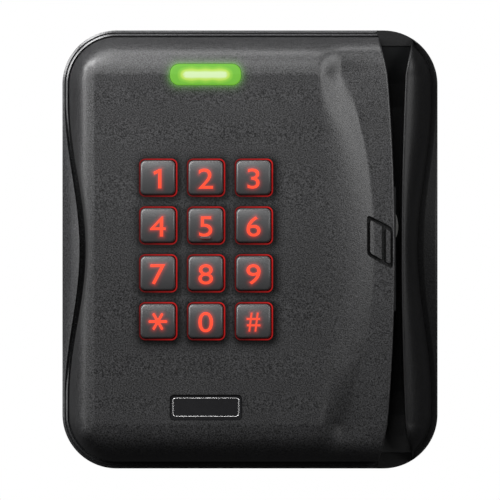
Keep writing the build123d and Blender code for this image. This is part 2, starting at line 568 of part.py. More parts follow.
add("cover_screws", *[cyl(u, v, 2.8, 2.7, 4.4) + cyl(u, v, 1.45, 4.3, 16.5) - Pos(u, v, 2.7) * Box(3.6, 0.7, 1.2) - Pos(u, v, 2.7) * Box(0.7, 3.6, 1.2) for u, v in COVER_POSTS])
add("rail_screws", *[cyl(u, v, 2.3, 2.7, 4.4) + cyl(u, v, 1.15, 4.3, 13.2) - Pos(u, v, 2.7) * Box(3.0, 0.6, 1.2) - Pos(u, v, 2.7) * Box(0.6, 3.0, 1.2) for u, v in RAIL_POSTS])

# ----------------------------------------------------------------------- export
os.makedirs("parts", exist_ok=True)
turn = Rot(90, 0, 0)
for name, shapes in nodes.items():
    solids = [turn * piece for shape in shapes for piece in shape.solids()]
    export_step(solids[0] if len(solids) == 1 else Compound(solids), os.path.join("parts", name + ".step"))
print(len(nodes), "nodes written")
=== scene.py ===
import bpy, bmesh, math
import numpy as np
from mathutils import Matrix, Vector, kdtree


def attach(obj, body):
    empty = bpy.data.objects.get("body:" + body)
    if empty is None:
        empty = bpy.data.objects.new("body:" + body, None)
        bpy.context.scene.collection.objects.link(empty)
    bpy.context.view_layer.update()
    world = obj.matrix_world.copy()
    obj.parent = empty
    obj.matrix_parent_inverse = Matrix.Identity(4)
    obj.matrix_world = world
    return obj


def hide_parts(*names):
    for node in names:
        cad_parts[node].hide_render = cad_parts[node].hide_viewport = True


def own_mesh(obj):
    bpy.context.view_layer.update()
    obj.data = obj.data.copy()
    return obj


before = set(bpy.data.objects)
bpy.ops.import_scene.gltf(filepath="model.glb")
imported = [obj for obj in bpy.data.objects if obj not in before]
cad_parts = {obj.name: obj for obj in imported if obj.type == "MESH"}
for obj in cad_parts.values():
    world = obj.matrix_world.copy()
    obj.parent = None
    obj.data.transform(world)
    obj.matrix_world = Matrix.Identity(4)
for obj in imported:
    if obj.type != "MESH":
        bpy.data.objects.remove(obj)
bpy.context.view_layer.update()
D = bpy.data
MM = 0.001

# ------------------------------------------------------------------ dimensions (mm)
BW, BH, RO = 110.9, 129.5, 16.0
HW, HH = BW / 2, BH / 2
CU, CV = HW - RO, HH - RO
WALL = 2.2
FRONT, LOW, RAIL_TOP = 31.0, 28.6, 28.3
A_FRONT, A_LOW = 0.0004, 0.0011
C_V, C_R, C_UL = 62.65, 14.0, -53.33
WAIST, WAIST_L = 44.3, 4.88
CREASE_U, CREASE_V = -45.8, 51.65
STEP_U, STEP_A, STEP_B = 20.1, 16.0, 51.8
KINK = 51.5
KEY_CU, KEY_CV, PITCH = -12.95, 0.0, 14.1
LENS_U, LENS_V, LENS_L, LENS_H, LENS_R = -13.1, 51.6, 21.0, 6.3, 2.7
BADGE_U, BADGE_V, BADGE_L, BADGE_H = -13.0, -46.6, 21.4, 7.6


def bell(v):
    return np.where(np.abs(v) < WAIST, 0.5 * (1 + np.cos(np.pi * np.clip(v, -WAIST, WAIST) / WAIST)), 0.0)


def slot_left(v):
    a = np.abs(v)
    s = np.maximum(a - KINK, 0)
    return 42.75 - 0.00081 * np.minimum(a, KINK) ** 2 - 0.175 * s - 0.0055 * s * s


def slot_right(v):
    a = np.abs(v)
    s = np.maximum(a - KINK, 0)
    return 44.75 + 0.00044 * np.minimum(a, KINK) ** 2 + 0.155 * s + 0.005 * s * s


def left_edge(v):
    return C_UL + WAIST_L * bell(v)


def smooth(x):
    x = np.clip(x, 0, 1)
    return x * x * (3 - 2 * x)


def roll(t, p=2.2):
    return 1 - (1 - np.clip(t, 0, 1)) ** p


def cover_h(u, v):
    """Front surface of the cover: plateau, curved step, swipe side and rolled edges."""
    u, v = np.broadcast_arrays(np.asarray(u, float), np.asarray(v, float))
    vc = np.clip(v, -CREASE_V, CREASE_V)
    top = FRONT - A_FRONT * vc * vc
    low = LOW + 0.3 - 0.00075 * vc * vc - 0.45 * np.clip((np.abs(v) - 38.0) / 14.0, 0, 1.3) ** 2
    z = smooth((np.abs(v) - 34.0) / 16.0)
    a = np.sqrt(STEP_A ** 2 * np.maximum(0, 1 - (vc / STEP_B) ** 2) + 20.0 + 32.0 * z)
    s = np.clip((u - STEP_U) / a, 0, 1)
    q = smooth((np.abs(v) - 51.0) / 12.0)
    xr = np.clip((u - STEP_U + 4.0) / 26.0, 0, 1)
    ramp = np.where(xr < 0.24, xr ** 2 / 0.48, xr - 0.12) / 0.88
    fall = (1 - q) * ((1 - z) * s ** 2 + z * smooth(s)) + q * ramp
    w_in = top - (top - low) * fall
    cu0, cv0 = C_UL + C_R, C_V - C_R
    av = np.abs(v)
    ul_ = np.where(av > cv0, cu0 - np.sqrt(np.maximum(C_R ** 2 - np.maximum(av - cv0, 0) ** 2, 0)), C_UL)
    vt_ = np.where(u < cu0, cv0 + np.sqrt(np.maximum(C_R ** 2 - np.minimum(u - cu0, 0) ** 2, 0)), C_V)
    ta = np.where(u < CREASE_U, (u - ul_) / np.maximum(CREASE_U - ul_, 1e-6), 1.0)
    tb = np.where(av > CREASE_V, (vt_ - av) / np.maximum(vt_ - CREASE_V, 1e-6), 1.0)
    du, dv = CREASE_U - u, np.abs(v) - CREASE_V
    rad = np.hypot(du, dv) + 1e-9
    dx, dy = -du / rad, dv / rad
    ox, oy = CREASE_U - (C_UL + C_R), CREASE_V - (C_V - C_R)
    b = ox * dx + oy * dy
    reach = -b + np.sqrt(np.maximum(b * b - (ox * ox + oy * oy - C_R ** 2), 0))
    tc = 1 - rad / np.maximum(reach, 1e-6)
    t = np.where((ta < 1) & (tb < 1), tc, np.minimum(ta, tb))
    ph = np.where((ta < 1) & (tb < 1), np.arctan2(np.maximum(dv, 0), np.maximum(du, 1e-9)), np.where(ta < tb, 0.0, math.pi / 2))
    pw_ = 4.0 * np.cos(ph) ** 2 + 3.4 * np.sin(ph) ** 2 + 1.3 * np.sin(2 * ph) ** 2
    kt = 0.22
    h = 19.8 + (w_in - 19.8) * ((1 - kt) * roll(t, pw_) + kt * np.clip(t, 0, 1))
    # small radius where the waist cuts the edge
    e = np.clip((u - left_edge(v)) / 1.0, 0, 1)
    h = h - 1.0 * (1 - e) ** 2.2 * bell(v) ** 0.5
    # small radius along the slot lip
    e = np.clip((slot_left(v) - u) / 0.55, 0, 1)
    h = h - 0.5 * (1 - np.sqrt(np.maximum(0, 1 - (1 - e) ** 2)))
    return h


# ------------------------------------------------------------------ mesh helpers
def W(u, v, w):
    """Bench millimetres to the row frame in metres."""
    return np.stack([np.asarray(u, float) * MM, -np.asarray(w, float) * MM, np.asarray(v, float) * MM], -1)


def mesh_obj(name, verts, faces, smooth_shade=True):
    me = D.meshes.new(name)
    me.from_pydata([tuple(map(float, p)) for p in verts], [], [tuple(int(i) for i in f) for f in faces])
    me.validate()
    if smooth_shade:
        me.shade_smooth()
    ob = D.objects.new(name, me)
    bpy.context.scene.collection.objects.link(ob)
    return ob


def outward(ob):
    bm = bmesh.new(); bm.from_mesh(ob.data)
    bmesh.ops.recalc_face_normals(bm, faces=bm.faces)
    bm.to_mesh(ob.data); bm.free()


def auto_smooth(ob, deg=38):
    bm = bmesh.new(); bm.from_mesh(ob.data)
    lim = math.radians(deg)
    for f in bm.faces:
        f.smooth = True
    for e in bm.edges:
        if len(e.link_faces) == 2:
            e.smooth = e.calc_face_angle(0) < lim
    bm.to_mesh(ob.data); bm.free()


def grid_faces(n, m, off=0, flip=False):
    i, j = np.meshgrid(np.arange(n - 1), np.arange(m - 1), indexing="ij")
    a = (i * m + j).ravel() + off
    q = np.stack([a, a + 1, a + m + 1, a + m], 1)
    return q[:, ::-1] if flip else q


def rim_loop(n, m):
    """Boundary of an n x m grid as a closed loop of indices."""
    return np.concatenate([np.arange(m), np.arange(1, n) * m + m - 1, (n - 1) * m + np.arange(m - 2, -1, -1),
                           np.arange(n - 2, 0, -1) * m])


def bridge(la, lb):
    la, lb = np.asarray(la), np.asarray(lb)
    return np.stack([la, np.roll(la, -1), np.roll(lb, -1), lb], 1)


def rr_point(th, lx, ly, r, inset=0.0):
    """Rounded rectangle point for a parameter th in [0, 1)."""
    hx, hy, r = lx / 2 - inset, ly / 2 - inset, max(r - inset, 0.02)
    sx, sy, q = 2 * (hx - r), 2 * (hy - r), math.pi * r / 2
    segs = [sy, q, sx, q, sy, q, sx, q]
    total = sum(segs)
    d = (th % 1.0) * total
    cs = [(hx, -hy + r), None]
    if d < sy: return hx, -hy + r + d
    d -= sy
    if d < q: a = d / r; return hx - r + r * math.cos(a), hy - r + r * math.sin(a)
    d -= q
    if d < sx: return hx - r - d, hy
    d -= sx
    if d < q: a = d / r + math.pi / 2; return -hx + r + r * math.cos(a), hy - r + r * math.sin(a)
    d -= q
    if d < sy: return -hx, hy - r - d
    d -= sy
    if d < q: a = d / r + math.pi; return -hx + r + r * math.cos(a), -hy + r + r * math.sin(a)
    d -= q
    if d < sx: return -hx + r + d, -hy
    d -= sx
    a = d / r + 1.5 * math.pi
    return hx - r + r * math.cos(a), -hy + r + r * math.sin(a)


def rr_ring(n, lx, ly, r, inset=0.0):
    """Ring with matched stations: corners keep their own share of points."""
    hx, hy = lx / 2 - inset, ly / 2 - inset
    rr = max(r - inset, 0.02)
    k = n // 8
    pts = []
    cs = [(hx - rr, hy - rr, 0), (-hx + rr, hy - rr, 90), (-hx + rr, -hy + rr, 180), (hx - rr, -hy + rr, 270)]
    for c in range(4):
        cx, cy, a0 = cs[c]
        for i in range(k):
            a = math.radians(a0 + 90 * i / k)
            pts.append((cx + rr * math.cos(a), cy + rr * math.sin(a)))
        nx = cs[(c + 1) % 4]
        a = math.radians(a0 + 90)
        p0 = (cx + rr * math.cos(a), cy + rr * math.sin(a))
        p1 = (nx[0] + rr * math.cos(a), nx[1] + rr * math.sin(a))
        for i in range(k):
            f = i / k
            pts.append((p0[0] + (p1[0] - p0[0]) * f, p0[1] + (p1[1] - p0[1]) * f))
    return np.array(pts)


# ------------------------------------------------------------------ materials
def nodes_of(mat):
    mat.use_nodes = True
    return mat.node_tree.nodes, mat.node_tree.links


def set_in(node, name, val):
    if name in node.inputs:
        node.inputs[name].default_value = val


def plastic(name, color, rough=0.45, spec=0.5, grain=0.25, scale=2600, speck=0.25, rough_var=0.08, coat=0.0,
            wear=0.0):
    """Moulded plastic: fine spark grain in bump, roughness and colour, plus a broad mottle."""
    m = D.materials.new(name)
    N, L = nodes_of(m)
    b = N["Principled BSDF"]
    tc = N.new("ShaderNodeTexCoord")
    fine = N.new("ShaderNodeTexNoise"); fine.inputs["Scale"].default_value = scale
    fine.inputs["Detail"].default_value = 0.6; fine.inputs["Roughness"].default_value = 0.5
    broad = N.new("ShaderNodeTexNoise"); broad.inputs["Scale"].default_value = 45
    broad.inputs["Detail"].default_value = 3.0
    L.new(tc.outputs["Object"], fine.inputs["Vector"]); L.new(tc.outputs["Object"], broad.inputs["Vector"])
    ramp = N.new("ShaderNodeMapRange")
    ramp.inputs["From Min"].default_value = 0.28; ramp.inputs["From Max"].default_value = 0.72
    ramp.inputs["To Min"].default_value = 1 - speck; ramp.inputs["To Max"].default_value = 1 + speck
    L.new(fine.outputs["Fac"], ramp.inputs["Value"])
    br = N.new("ShaderNodeMapRange")
    br.inputs["From Min"].default_value = 0.3; br.inputs["From Max"].default_value = 0.7
    br.inputs["To Min"].default_value = 0.95; br.inputs["To Max"].default_value = 1.05
    L.new(broad.outputs["Fac"], br.inputs["Value"])
    mul = N.new("ShaderNodeMath"); mul.operation = "MULTIPLY"
    L.new(ramp.outputs["Result"], mul.inputs[0]); L.new(br.outputs["Result"], mul.inputs[1])
    vm = N.new("ShaderNodeVectorMath"); vm.operation = "SCALE"
    vm.inputs[0].default_value = color[:3]
    L.new(mul.outputs[0], vm.inputs["Scale"]); L.new(vm.outputs["Vector"], b.inputs["Base Color"])
    rr = N.new("ShaderNodeMapRange")
    rr.inputs["To Min"].default_value = rough - rough_var; rr.inputs["To Max"].default_value = rough + rough_var
    mx = N.new("ShaderNodeMath"); mx.operation = "ADD"
    hf = N.new("ShaderNodeMath"); hf.operation = "MULTIPLY"; hf.inputs[1].default_value = 0.5
    L.new(fine.outputs["Fac"], mx.inputs[0]); L.new(broad.outputs["Fac"], mx.inputs[1]); L.new(mx.outputs[0], hf.inputs[0])
    L.new(hf.outputs[0], rr.inputs["Value"]); L.new(rr.outputs["Result"], b.inputs["Roughness"])
    bump = N.new("ShaderNodeBump"); bump.inputs["Strength"].default_value = grain
    bump.inputs["Distance"].default_value = 0.00012
    L.new(fine.outputs["Fac"], bump.inputs["Height"]); L.new(bump.outputs["Normal"], b.inputs["Normal"])
    set_in(b, "Specular IOR Level", spec)
    set_in(b, "Coat Weight", coat)
    return m, N, L, b


def glow_add(m, N, L, b, attr, color, strength):
    """Adds an emission that follows a point attribute."""
    at = N.new("ShaderNodeAttribute"); at.attribute_name = attr
    k = N.new("ShaderNodeMath"); k.operation = "MULTIPLY"; k.inputs[1].default_value = strength
    L.new(at.outputs["Fac"], k.inputs[0]); L.new(k.outputs[0], b.inputs["Emission Strength"])
    b.inputs["Emission Color"].default_value = (*color, 1)


def metal(name, color, rough=0.3, aniso=0.0, scale=900):
    m = D.materials.new(name)
    N, L = nodes_of(m)
    b = N["Principled BSDF"]
    b.inputs["Metallic"].default_value = 1.0
    tc = N.new("ShaderNodeTexCoord")
    mp = N.new("ShaderNodeMapping"); mp.inputs["Scale"].default_value = (1, 1, 12)
    no = N.new("ShaderNodeTexNoise"); no.inputs["Scale"].default_value = scale; no.inputs["Detail"].default_value = 3
    L.new(tc.outputs["Object"], mp.inputs["Vector"]); L.new(mp.outputs["Vector"], no.inputs["Vector"])
    r = N.new("ShaderNodeMapRange"); r.inputs["To Min"].default_value = rough - 0.08; r.inputs["To Max"].default_value = rough + 0.12
    L.new(no.outputs["Fac"], r.inputs["Value"]); L.new(r.outputs["Result"], b.inputs["Roughness"])
    vm = N.new("ShaderNodeVectorMath"); vm.operation = "SCALE"; vm.inputs[0].default_value = color[:3]
    r2 = N.new("ShaderNodeMapRange"); r2.inputs["To Min"].default_value = 0.85; r2.inputs["To Max"].default_value = 1.1
    L.new(no.outputs["Fac"], r2.inputs["Value"]); L.new(r2.outputs["Result"], vm.inputs["Scale"])
    L.new(vm.outputs["Vector"], b.inputs["Base Color"])
    bump = N.new("ShaderNodeBump"); bump.inputs["Strength"].default_value = 0.08; bump.inputs["Distance"].default_value = 0.00005
    L.new(no.outputs["Fac"], bump.inputs["Height"]); L.new(bump.outputs["Normal"], b.inputs["Normal"])
    return m


def assign(ob, m):
    ob.data.materials.clear(); ob.data.materials.append(m)


def fattr(ob, name, values):
    a = ob.data.attributes.new(name, "FLOAT", "POINT")
    a.data.foreach_set("value", np.asarray(values, np.float32))


def coords(ob):
    co = np.empty(len(ob.data.vertices) * 3, np.float32)
    ob.data.vertices.foreach_get("co", co)
    co = co.reshape(-1, 3).astype(float) / MM
    return co[:, 0], co[:, 2], -co[:, 1]     # u, v, w


# ------------------------------------------------------------------ camera, light, stage
sc = bpy.context.scene
cam_d = D.cameras.new("cam"); cam = D.objects.new("cam", cam_d); sc.collection.objects.link(cam)
DIST = 6.0
front_y = -0.016
cam.location = (0.00001, front_y - DIST, -0.00016)
cam.rotation_euler = (math.radians(90), 0, 0)
cam_d.sensor_width = 36
cam_d.lens = 36 * DIST / 0.14777
cam_d.clip_end = 50
sc.camera = cam


def area(name, loc, target, size, power, size_y=None, color=(1, 1, 1)):
    l = D.lights.new(name, "AREA"); l.energy = power; l.size = size; l.color = color
    if size_y:
        l.shape = "RECTANGLE"; l.size_y = size_y
    o = D.objects.new(name, l); sc.collection.objects.link(o)
    o.location = loc
    o.rotation_euler = (Vector(target) - Vector(loc)).to_track_quat("-Z", "Y").to_euler()
    return o


LIGHTS = [  # name, direction from the reader, distance, width, height, power
    ("key_top_left", (-0.42, -0.45, 0.77), 0.45, 0.20, 0.16, 2.00),
    ("key_left", (-0.78, -0.45, 0.44), 0.50, 0.20, 0.20, 1.90),
    ("top_graze", (-0.05, -0.17, 0.98), 0.50, 0.40, 0.10, 0.85),
    ("left_graze", (-0.98, -0.17, 0.10), 0.50, 0.10, 0.40, 0.10),
    ("left_mid", (-0.88, -0.45, 0.08), 0.60, 0.15, 0.30, 0.40),
    ("front_left", (-0.60, -0.78, 0.28), 0.80, 0.12, 0.30, 0.45),
    ("right_top", (0.62, -0.52, 0.58), 0.70, 0.30, 0.30, 1.35),
    ("front_up_high", (-0.10, -0.78, 0.62), 0.80, 0.30, 0.20, 1.20),
    ("front_right", (0.50, -0.85, 0.22), 0.80, 0.12, 0.30, 1.30),
    ("right_side", (0.80, -0.58, 0.28), 0.70, 0.20, 0.40, 0.90),
]
AMBIENT = 0.03
for nm, dr, ds, sx, sy, pw in LIGHTS:
    if pw > 0:
        dn = Vector(dr).normalized() * ds
        area(nm, tuple(dn), (0, -0.02, 0), sx, pw, sy)

wd = D.worlds.new("studio"); sc.world = wd; wd.use_nodes = True
WN, WL = wd.node_tree.nodes, wd.node_tree.links
bg = WN["Background"]; bg.inputs["Color"].default_value = (1.0, 1.0, 1.03, 1); bg.inputs["Strength"].default_value = AMBIENT
bg2 = WN.new("ShaderNodeBackground"); bg2.inputs["Color"].default_value = (1, 1, 1, 1); bg2.inputs["Strength"].default_value = 1.0
lp = WN.new("ShaderNodeLightPath"); mixs = WN.new("ShaderNodeMixShader")
WL.new(lp.outputs["Is Camera Ray"], mixs.inputs[0]); WL.new(bg.outputs[0], mixs.inputs[1]); WL.new(bg2.outputs[0], mixs.inputs[2])
WL.new(mixs.outputs[0], WN["World Output"].inputs[0])
sc.view_settings.view_transform = "Standard"
sc.view_settings.look = "None"
sc.view_settings.exposure = 0
sc.view_settings.gamma = 1

fl = mesh_obj("stage_floor", [(-1.5, -1.2, -0.25), (1.5, -1.2, -0.25), (1.5, 1.0, -0.25), (-1.5, 1.0, -0.25)], [(0, 1, 2, 3)], False)
fm = D.materials.new("stage_pale"); FN, FL = nodes_of(fm)
fb = FN["Principled BSDF"]; fb.inputs["Base Color"].default_value = (0.92, 0.92, 0.92, 1); fb.inputs["Roughness"].default_value = 0.9
assign(fl, fm)
fl.visible_diffuse = False; fl.visible_glossy = False

# ------------------------------------------------------------------ materials in use
cover_mat = plastic("charcoal_grain", (0.025, 0.025, 0.0258), 0.37, 0.5, 0.32, 2900, 0.78)
# painted light: green glow from the lens, painted on the cover as emission
glow_add(*cover_mat, "painted_lens_spill", (0.25, 0.85, 0.05), 1.0)
_m, _N, _L, _b = cover_mat
_at = _N.new("ShaderNodeAttribute"); _at.attribute_name = "recess"
_k = _N.new("ShaderNodeMapRange"); _k.inputs["To Min"].default_value = 1.0; _k.inputs["To Max"].default_value = 0.35
_L.new(_at.outputs["Fac"], _k.inputs["Value"])
_src = _b.inputs["Base Color"].links[0].from_socket
_v = _N.new("ShaderNodeVectorMath"); _v.operation = "SCALE"
# painted shade: the shade attribute darkens the base colour as painted key drop shadows and painted shade along the
# waist edge
_sh = _N.new("ShaderNodeAttribute"); _sh.attribute_name = "shade"
_d = _N.new("ShaderNodeMapRange"); _d.inputs["To Min"].default_value = 1.0; _d.inputs["To Max"].default_value = 0.12
_L.new(_sh.outputs["Fac"], _d.inputs["Value"])
_p = _N.new("ShaderNodeMath"); _p.operation = "MULTIPLY"
_L.new(_k.outputs["Result"], _p.inputs[0]); _L.new(_d.outputs["Result"], _p.inputs[1])
_L.new(_src, _v.inputs[0]); _L.new(_p.outputs[0], _v.inputs["Scale"]); _L.new(_v.outputs["Vector"], _b.inputs["Base Color"])
_ro = _b.inputs["Roughness"].links[0].from_socket
_du = _N.new("ShaderNodeAttribute"); _du.attribute_name = "dull"
_q = _N.new("ShaderNodeMath"); _q.operation = "ADD"
_L.new(_du.outputs["Fac"], _q.inputs[0]); _L.new(_ro, _q.inputs[1]); _L.new(_q.outputs[0], _b.inputs["Roughness"])

rail_mat = plastic("satin_black", (0.0075, 0.0075, 0.0078), 0.42, 0.27, 0.30, 2600, 0.5)
bezel_mat = plastic("bezel_grain", (0.030, 0.0302, 0.0315), 0.25, 0.5, 0.22, 2400, 0.4)
house_mat = plastic("housing_black_mould", (0.0065, 0.0066, 0.0068), 0.58, 0.2, 0.3, 2400, 0.35)
plate_mat = plastic("plate_black_mould", (0.018, 0.018, 0.019), 0.5, 0.45, 0.2, 1800, 0.12)
floor_mat = plastic("slot_black", (0.0055, 0.0060, 0.0064), 0.5, 0.3, 0.12, 2600, 0.1)
gasket_mat = plastic("soft_rubber", (0.02, 0.02, 0.02), 0.75, 0.3, 0.15, 1200, 0.1)
key_mat = plastic("key_satin", (0.042, 0.042, 0.0432), 0.34, 0.5, 0.06, 2600, 0.06, 0.04)
glow_add(*key_mat, "glow", (1.0, 0.035, 0.02), 1.0)
badge_mat = plastic("badge_gloss", (0.012, 0.012, 0.013), 0.2, 0.5, 0.02, 900, 0.05, 0.04, coat=0.3)
pcb_mat = plastic("solder_mask", (0.012, 0.10, 0.04), 0.35, 0.5, 0.1, 700, 0.15)
conn_mat = plastic("moulded_black", (0.012, 0.012, 0.012), 0.5, 0.45, 0.15, 1500, 0.1)
term_mat = plastic("terminal_green_mould", (0.02, 0.25, 0.09), 0.42, 0.5, 0.1, 1500, 0.1)
flex_mat = plastic("polyimide", (0.45, 0.2, 0.03), 0.3, 0.5, 0.05, 1500, 0.1)
led_mat = plastic("led_resin", (0.7, 0.7, 0.62), 0.25, 0.5, 0.03, 1500, 0.05)
steel_mat = metal("zinc_steel", (0.55, 0.56, 0.58), 0.32)
head_mat = metal("head_alloy", (0.30, 0.30, 0.29), 0.34)
can_mat = metal("can_aluminium", (0.7, 0.71, 0.73), 0.3)
coil_mat = metal("enamelled_copper", (0.75, 0.32, 0.14), 0.28, scale=2500)
silver_mat = metal("silver_line", (0.62, 0.62, 0.62), 0.25, scale=2000)

red = D.materials.new("red_light"); RN, RL = nodes_of(red)
rb = RN["Principled BSDF"]


def math_node(N, L, op, a, b=None, clamp=False):
    nd = N.new("ShaderNodeMath"); nd.operation = op; nd.use_clamp = clamp
    for k, x in enumerate((a, b)):
        if x is None: continue
        if isinstance(x, (int, float)): nd.inputs[k].default_value = x
        else: L.new(x, nd.inputs[k])
    return nd.outputs[0]


tcr = RN.new("ShaderNodeTexCoord"); nr = RN.new("ShaderNodeTexNoise"); nr.inputs["Scale"].default_value = 500
RL.new(tcr.outputs["Object"], nr.inputs["Vector"])
sp = RN.new("ShaderNodeSeparateXYZ"); RL.new(tcr.outputs["Object"], sp.inputs[0])
# place inside each key's own square, -0.5 to 0.5, and paint the right and top side brighter as a painted highlight
fx = math_node(RN, RL, "SUBTRACT", math_node(RN, RL, "FRACT", math_node(RN, RL, "ADD", math_node(RN, RL, "DIVIDE", sp.outputs["X"], PITCH * MM), 10.5 - KEY_CU / PITCH)), 0.5)
fz = math_node(RN, RL, "SUBTRACT", math_node(RN, RL, "FRACT", math_node(RN, RL, "ADD", math_node(RN, RL, "DIVIDE", sp.outputs["Z"], PITCH * MM), 10.0 - KEY_CV / PITCH)), 0.5)
fx_ = math_node(RN, RL, "MULTIPLY", fx, 1.15)
fz_ = math_node(RN, RL, "MULTIPLY", fz, 0.55)
g0 = math_node(RN, RL, "ADD", math_node(RN, RL, "ADD", fx_, fz_), 0.62)
g1 = math_node(RN, RL, "MULTIPLY", g0, math_node(RN, RL, "ADD", nr.outputs["Fac"], 0.5))
g2 = math_node(RN, RL, "MAXIMUM", math_node(RN, RL, "MULTIPLY", g1, 0.30), 0.035)
RL.new(g2, rb.inputs["Emission Strength"])
rb.inputs["Emission Color"].default_value = (1.0, 0.018, 0.016, 1)
rb.inputs["Base Color"].default_value = (0.06, 0.003, 0.003, 1); rb.inputs["Roughness"].default_value = 0.5
rb.inputs["Specular IOR Level"].default_value = 0.15

dig = D.materials.new("legend_red"); GN, GL = nodes_of(dig)
gb = GN["Principled BSDF"]
gb.inputs["Base Color"].default_value = (0.2, 0.01, 0.008, 1); gb.inputs["Roughness"].default_value = 0.6
gb.inputs["Specular IOR Level"].default_value = 0.1
tcg = GN.new("ShaderNodeTexCoord"); ng = GN.new("ShaderNodeTexNoise"); ng.inputs["Scale"].default_value = 900
GL.new(tcg.outputs["Object"], ng.inputs["Vector"])
mg = GN.new("ShaderNodeMapRange"); mg.inputs["To Min"].default_value = 0.92; mg.inputs["To Max"].default_value = 1.08
GL.new(ng.outputs["Fac"], mg.inputs["Value"]); GL.new(mg.outputs["Result"], gb.inputs["Emission Strength"])
gb.inputs["Emission Color"].default_value = (1.0, 0.085, 0.035, 1)

lens_m = D.materials.new("lens_lit"); LN, LL = nodes_of(lens_m)
lb = LN["Principled BSDF"]
at = LN.new("ShaderNodeAttribute"); at.attribute_name = "core"
cr = LN.new("ShaderNodeValToRGB"); cr.color_ramp.interpolation = "EASE"
e = cr.color_ramp.elements
e[0].position = 0.0; e[0].color = (0.15, 0.43, 0.035, 1)
e[1].position = 1.0; e[1].color = (0.70, 0.83, 0.50, 1)
x = e.new(0.30); x.color = (0.24, 0.53, 0.045, 1)
x = e.new(0.62); x.color = (0.52, 0.70, 0.11, 1)
LL.new(at.outputs["Fac"], cr.inputs["Fac"]); LL.new(cr.outputs["Color"], lb.inputs["Emission Color"])
lb.inputs["Emission Strength"].default_value = 0.95
lb.inputs["Base Color"].default_value = (0.02, 0.06, 0.01, 1); lb.inputs["Roughness"].default_value = 0.55
lb.inputs["Specular IOR Level"].default_value = 0.12

# ------------------------------------------------------------------ carried CAD nodes
use = {"rear_housing": house_mat[0], "mounting_plate": plate_mat[0], "lock_screw": steel_mat, "cover_gasket": gasket_mat[0],
       "badge_plate": badge_mat[0], "status_light_board": pcb_mat[0], "status_leds": led_mat[0], "slot_floor": floor_mat[0],
       "slot_guide": floor_mat[0], "magnetic_head": head_mat, "head_bracket": steel_mat, "head_spring": steel_mat,
       "head_screws": steel_mat, "head_flex": flex_mat[0], "keypad_light_frame": red, "keypad_board": pcb_mat[0],
       "dome_mat": gasket_mat[0], "backlight_leds": led_mat[0], "keypad_screws": steel_mat, "main_board": pcb_mat[0],
       "board_screws": steel_mat, "board_header": conn_mat[0], "processor_chips": conn_mat[0], "capacitors": can_mat,
       "buzzer": conn_mat[0], "tamper_sensor": conn_mat[0], "terminal_block": term_mat[0], "terminal_screws": steel_mat,
       "prox_coil": coil_mat, "cover_screws": steel_mat, "rail_screws": steel_mat}
for n, m in use.items():
    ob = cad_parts[n]
    for s in ob.material_slots:
        s.material = m

# ------------------------------------------------------------------ front cover
def cover_rows(d):
    vt = C_V - d
    core = np.arange(-47.6, 47.61, 0.34)
    tip = 48.0 + (vt - 48.0) * np.sin(np.linspace(0, 1, 46) * math.pi / 2)
    return np.concatenate([-tip[::-1], core, tip])


def cover_grid(d):
    """Points of the cover's front, inset by d; rows run left to right."""
    v = cover_rows(d)
    cv, cu, r = C_V - C_R, C_UL + C_R, C_R - d
    dv = np.maximum(np.abs(v) - cv, 0)
    ul = np.where(dv > 0, cu - np.sqrt(np.maximum(r * r - dv * dv, 0)), left_edge(v) + d)
    ur = slot_left(v) - d
    k1 = np.linspace(0, 1, 34) ** 1.25
    k2 = np.linspace(0, 1, 196)[1:]
    k3 = np.linspace(0, 1, 12)[1:] ** 0.6
    rows = []
    for a, b in zip(ul, ur):
        m1 = a + 9.0 if a < -44 else a + 9.0
        m2 = b - 1.0
        rows.append(np.concatenate([a + (m1 - a) * k1, m1 + (m2 - m1) * k2, m2 + (b - m2) * k3]))
    U = np.array(rows)
    V = np.repeat(v[:, None], U.shape[1], 1)
    return U, V


Uo, Vo = cover_grid(0.0)
Ui, Vi = cover_grid(WALL)
n, m = Uo.shape
Ho = cover_h(Uo, Vo)
Hi = cover_h(Uo, Vo) - WALL
Hi = np.minimum(Hi, cover_h(Ui, Vi) - WALL + 0.05)
loop = rim_loop(n, m)
lu, lv = Uo.ravel()[loop], Vo.ravel()[loop]
li, lj = Ui.ravel()[loop], Vi.ravel()[loop]
on_slot = (np.abs(lu - slot_left(lv)) < 0.01) & (np.abs(lv) < 59.0)
wb = np.where(on_slot, 9.96, 15.1)
# outer wall gets a middle ring, so that its radius shades well
hb = Ho.ravel()[loop]
P = [W(Uo, Vo, Ho).reshape(-1, 3), W(lu, lv, hb - 0.25), W(lu, lv, wb), W(li, lj, wb), W(Ui, Vi, Hi).reshape(-1, 3)]
o1 = n * m; o2 = o1 + len(loop); o3 = o2 + len(loop); o4 = o3 + len(loop)
K = np.arange(len(loop))
F = [grid_faces(n, m), bridge(loop, o1 + K), bridge(o1 + K, o2 + K), bridge(o2 + K, o3 + K), bridge(o3 + K, o4 + loop),
     grid_faces(n, m, o4, True)]
cover = mesh_obj("cover_shell", np.concatenate(P), np.concatenate(F))
outward(cover)


def prism_ring(pts, w0, w1):
    pts = np.asarray(pts, float); k = len(pts)
    P = np.concatenate([W(pts[:, 0], pts[:, 1], np.full(k, w0)), W(pts[:, 0], pts[:, 1], np.full(k, w1))])
    F = [list(range(k))[::-1], [k + i for i in range(k)]] + [[i, (i + 1) % k, k + (i + 1) % k, k + i] for i in range(k)]
    return P, F


def rbox(cu, cv, lx, ly, r, w0, w1, n=48):
    return prism_ring(rr_ring(n, lx, ly, r) + np.array([cu, cv]), w0, w1)


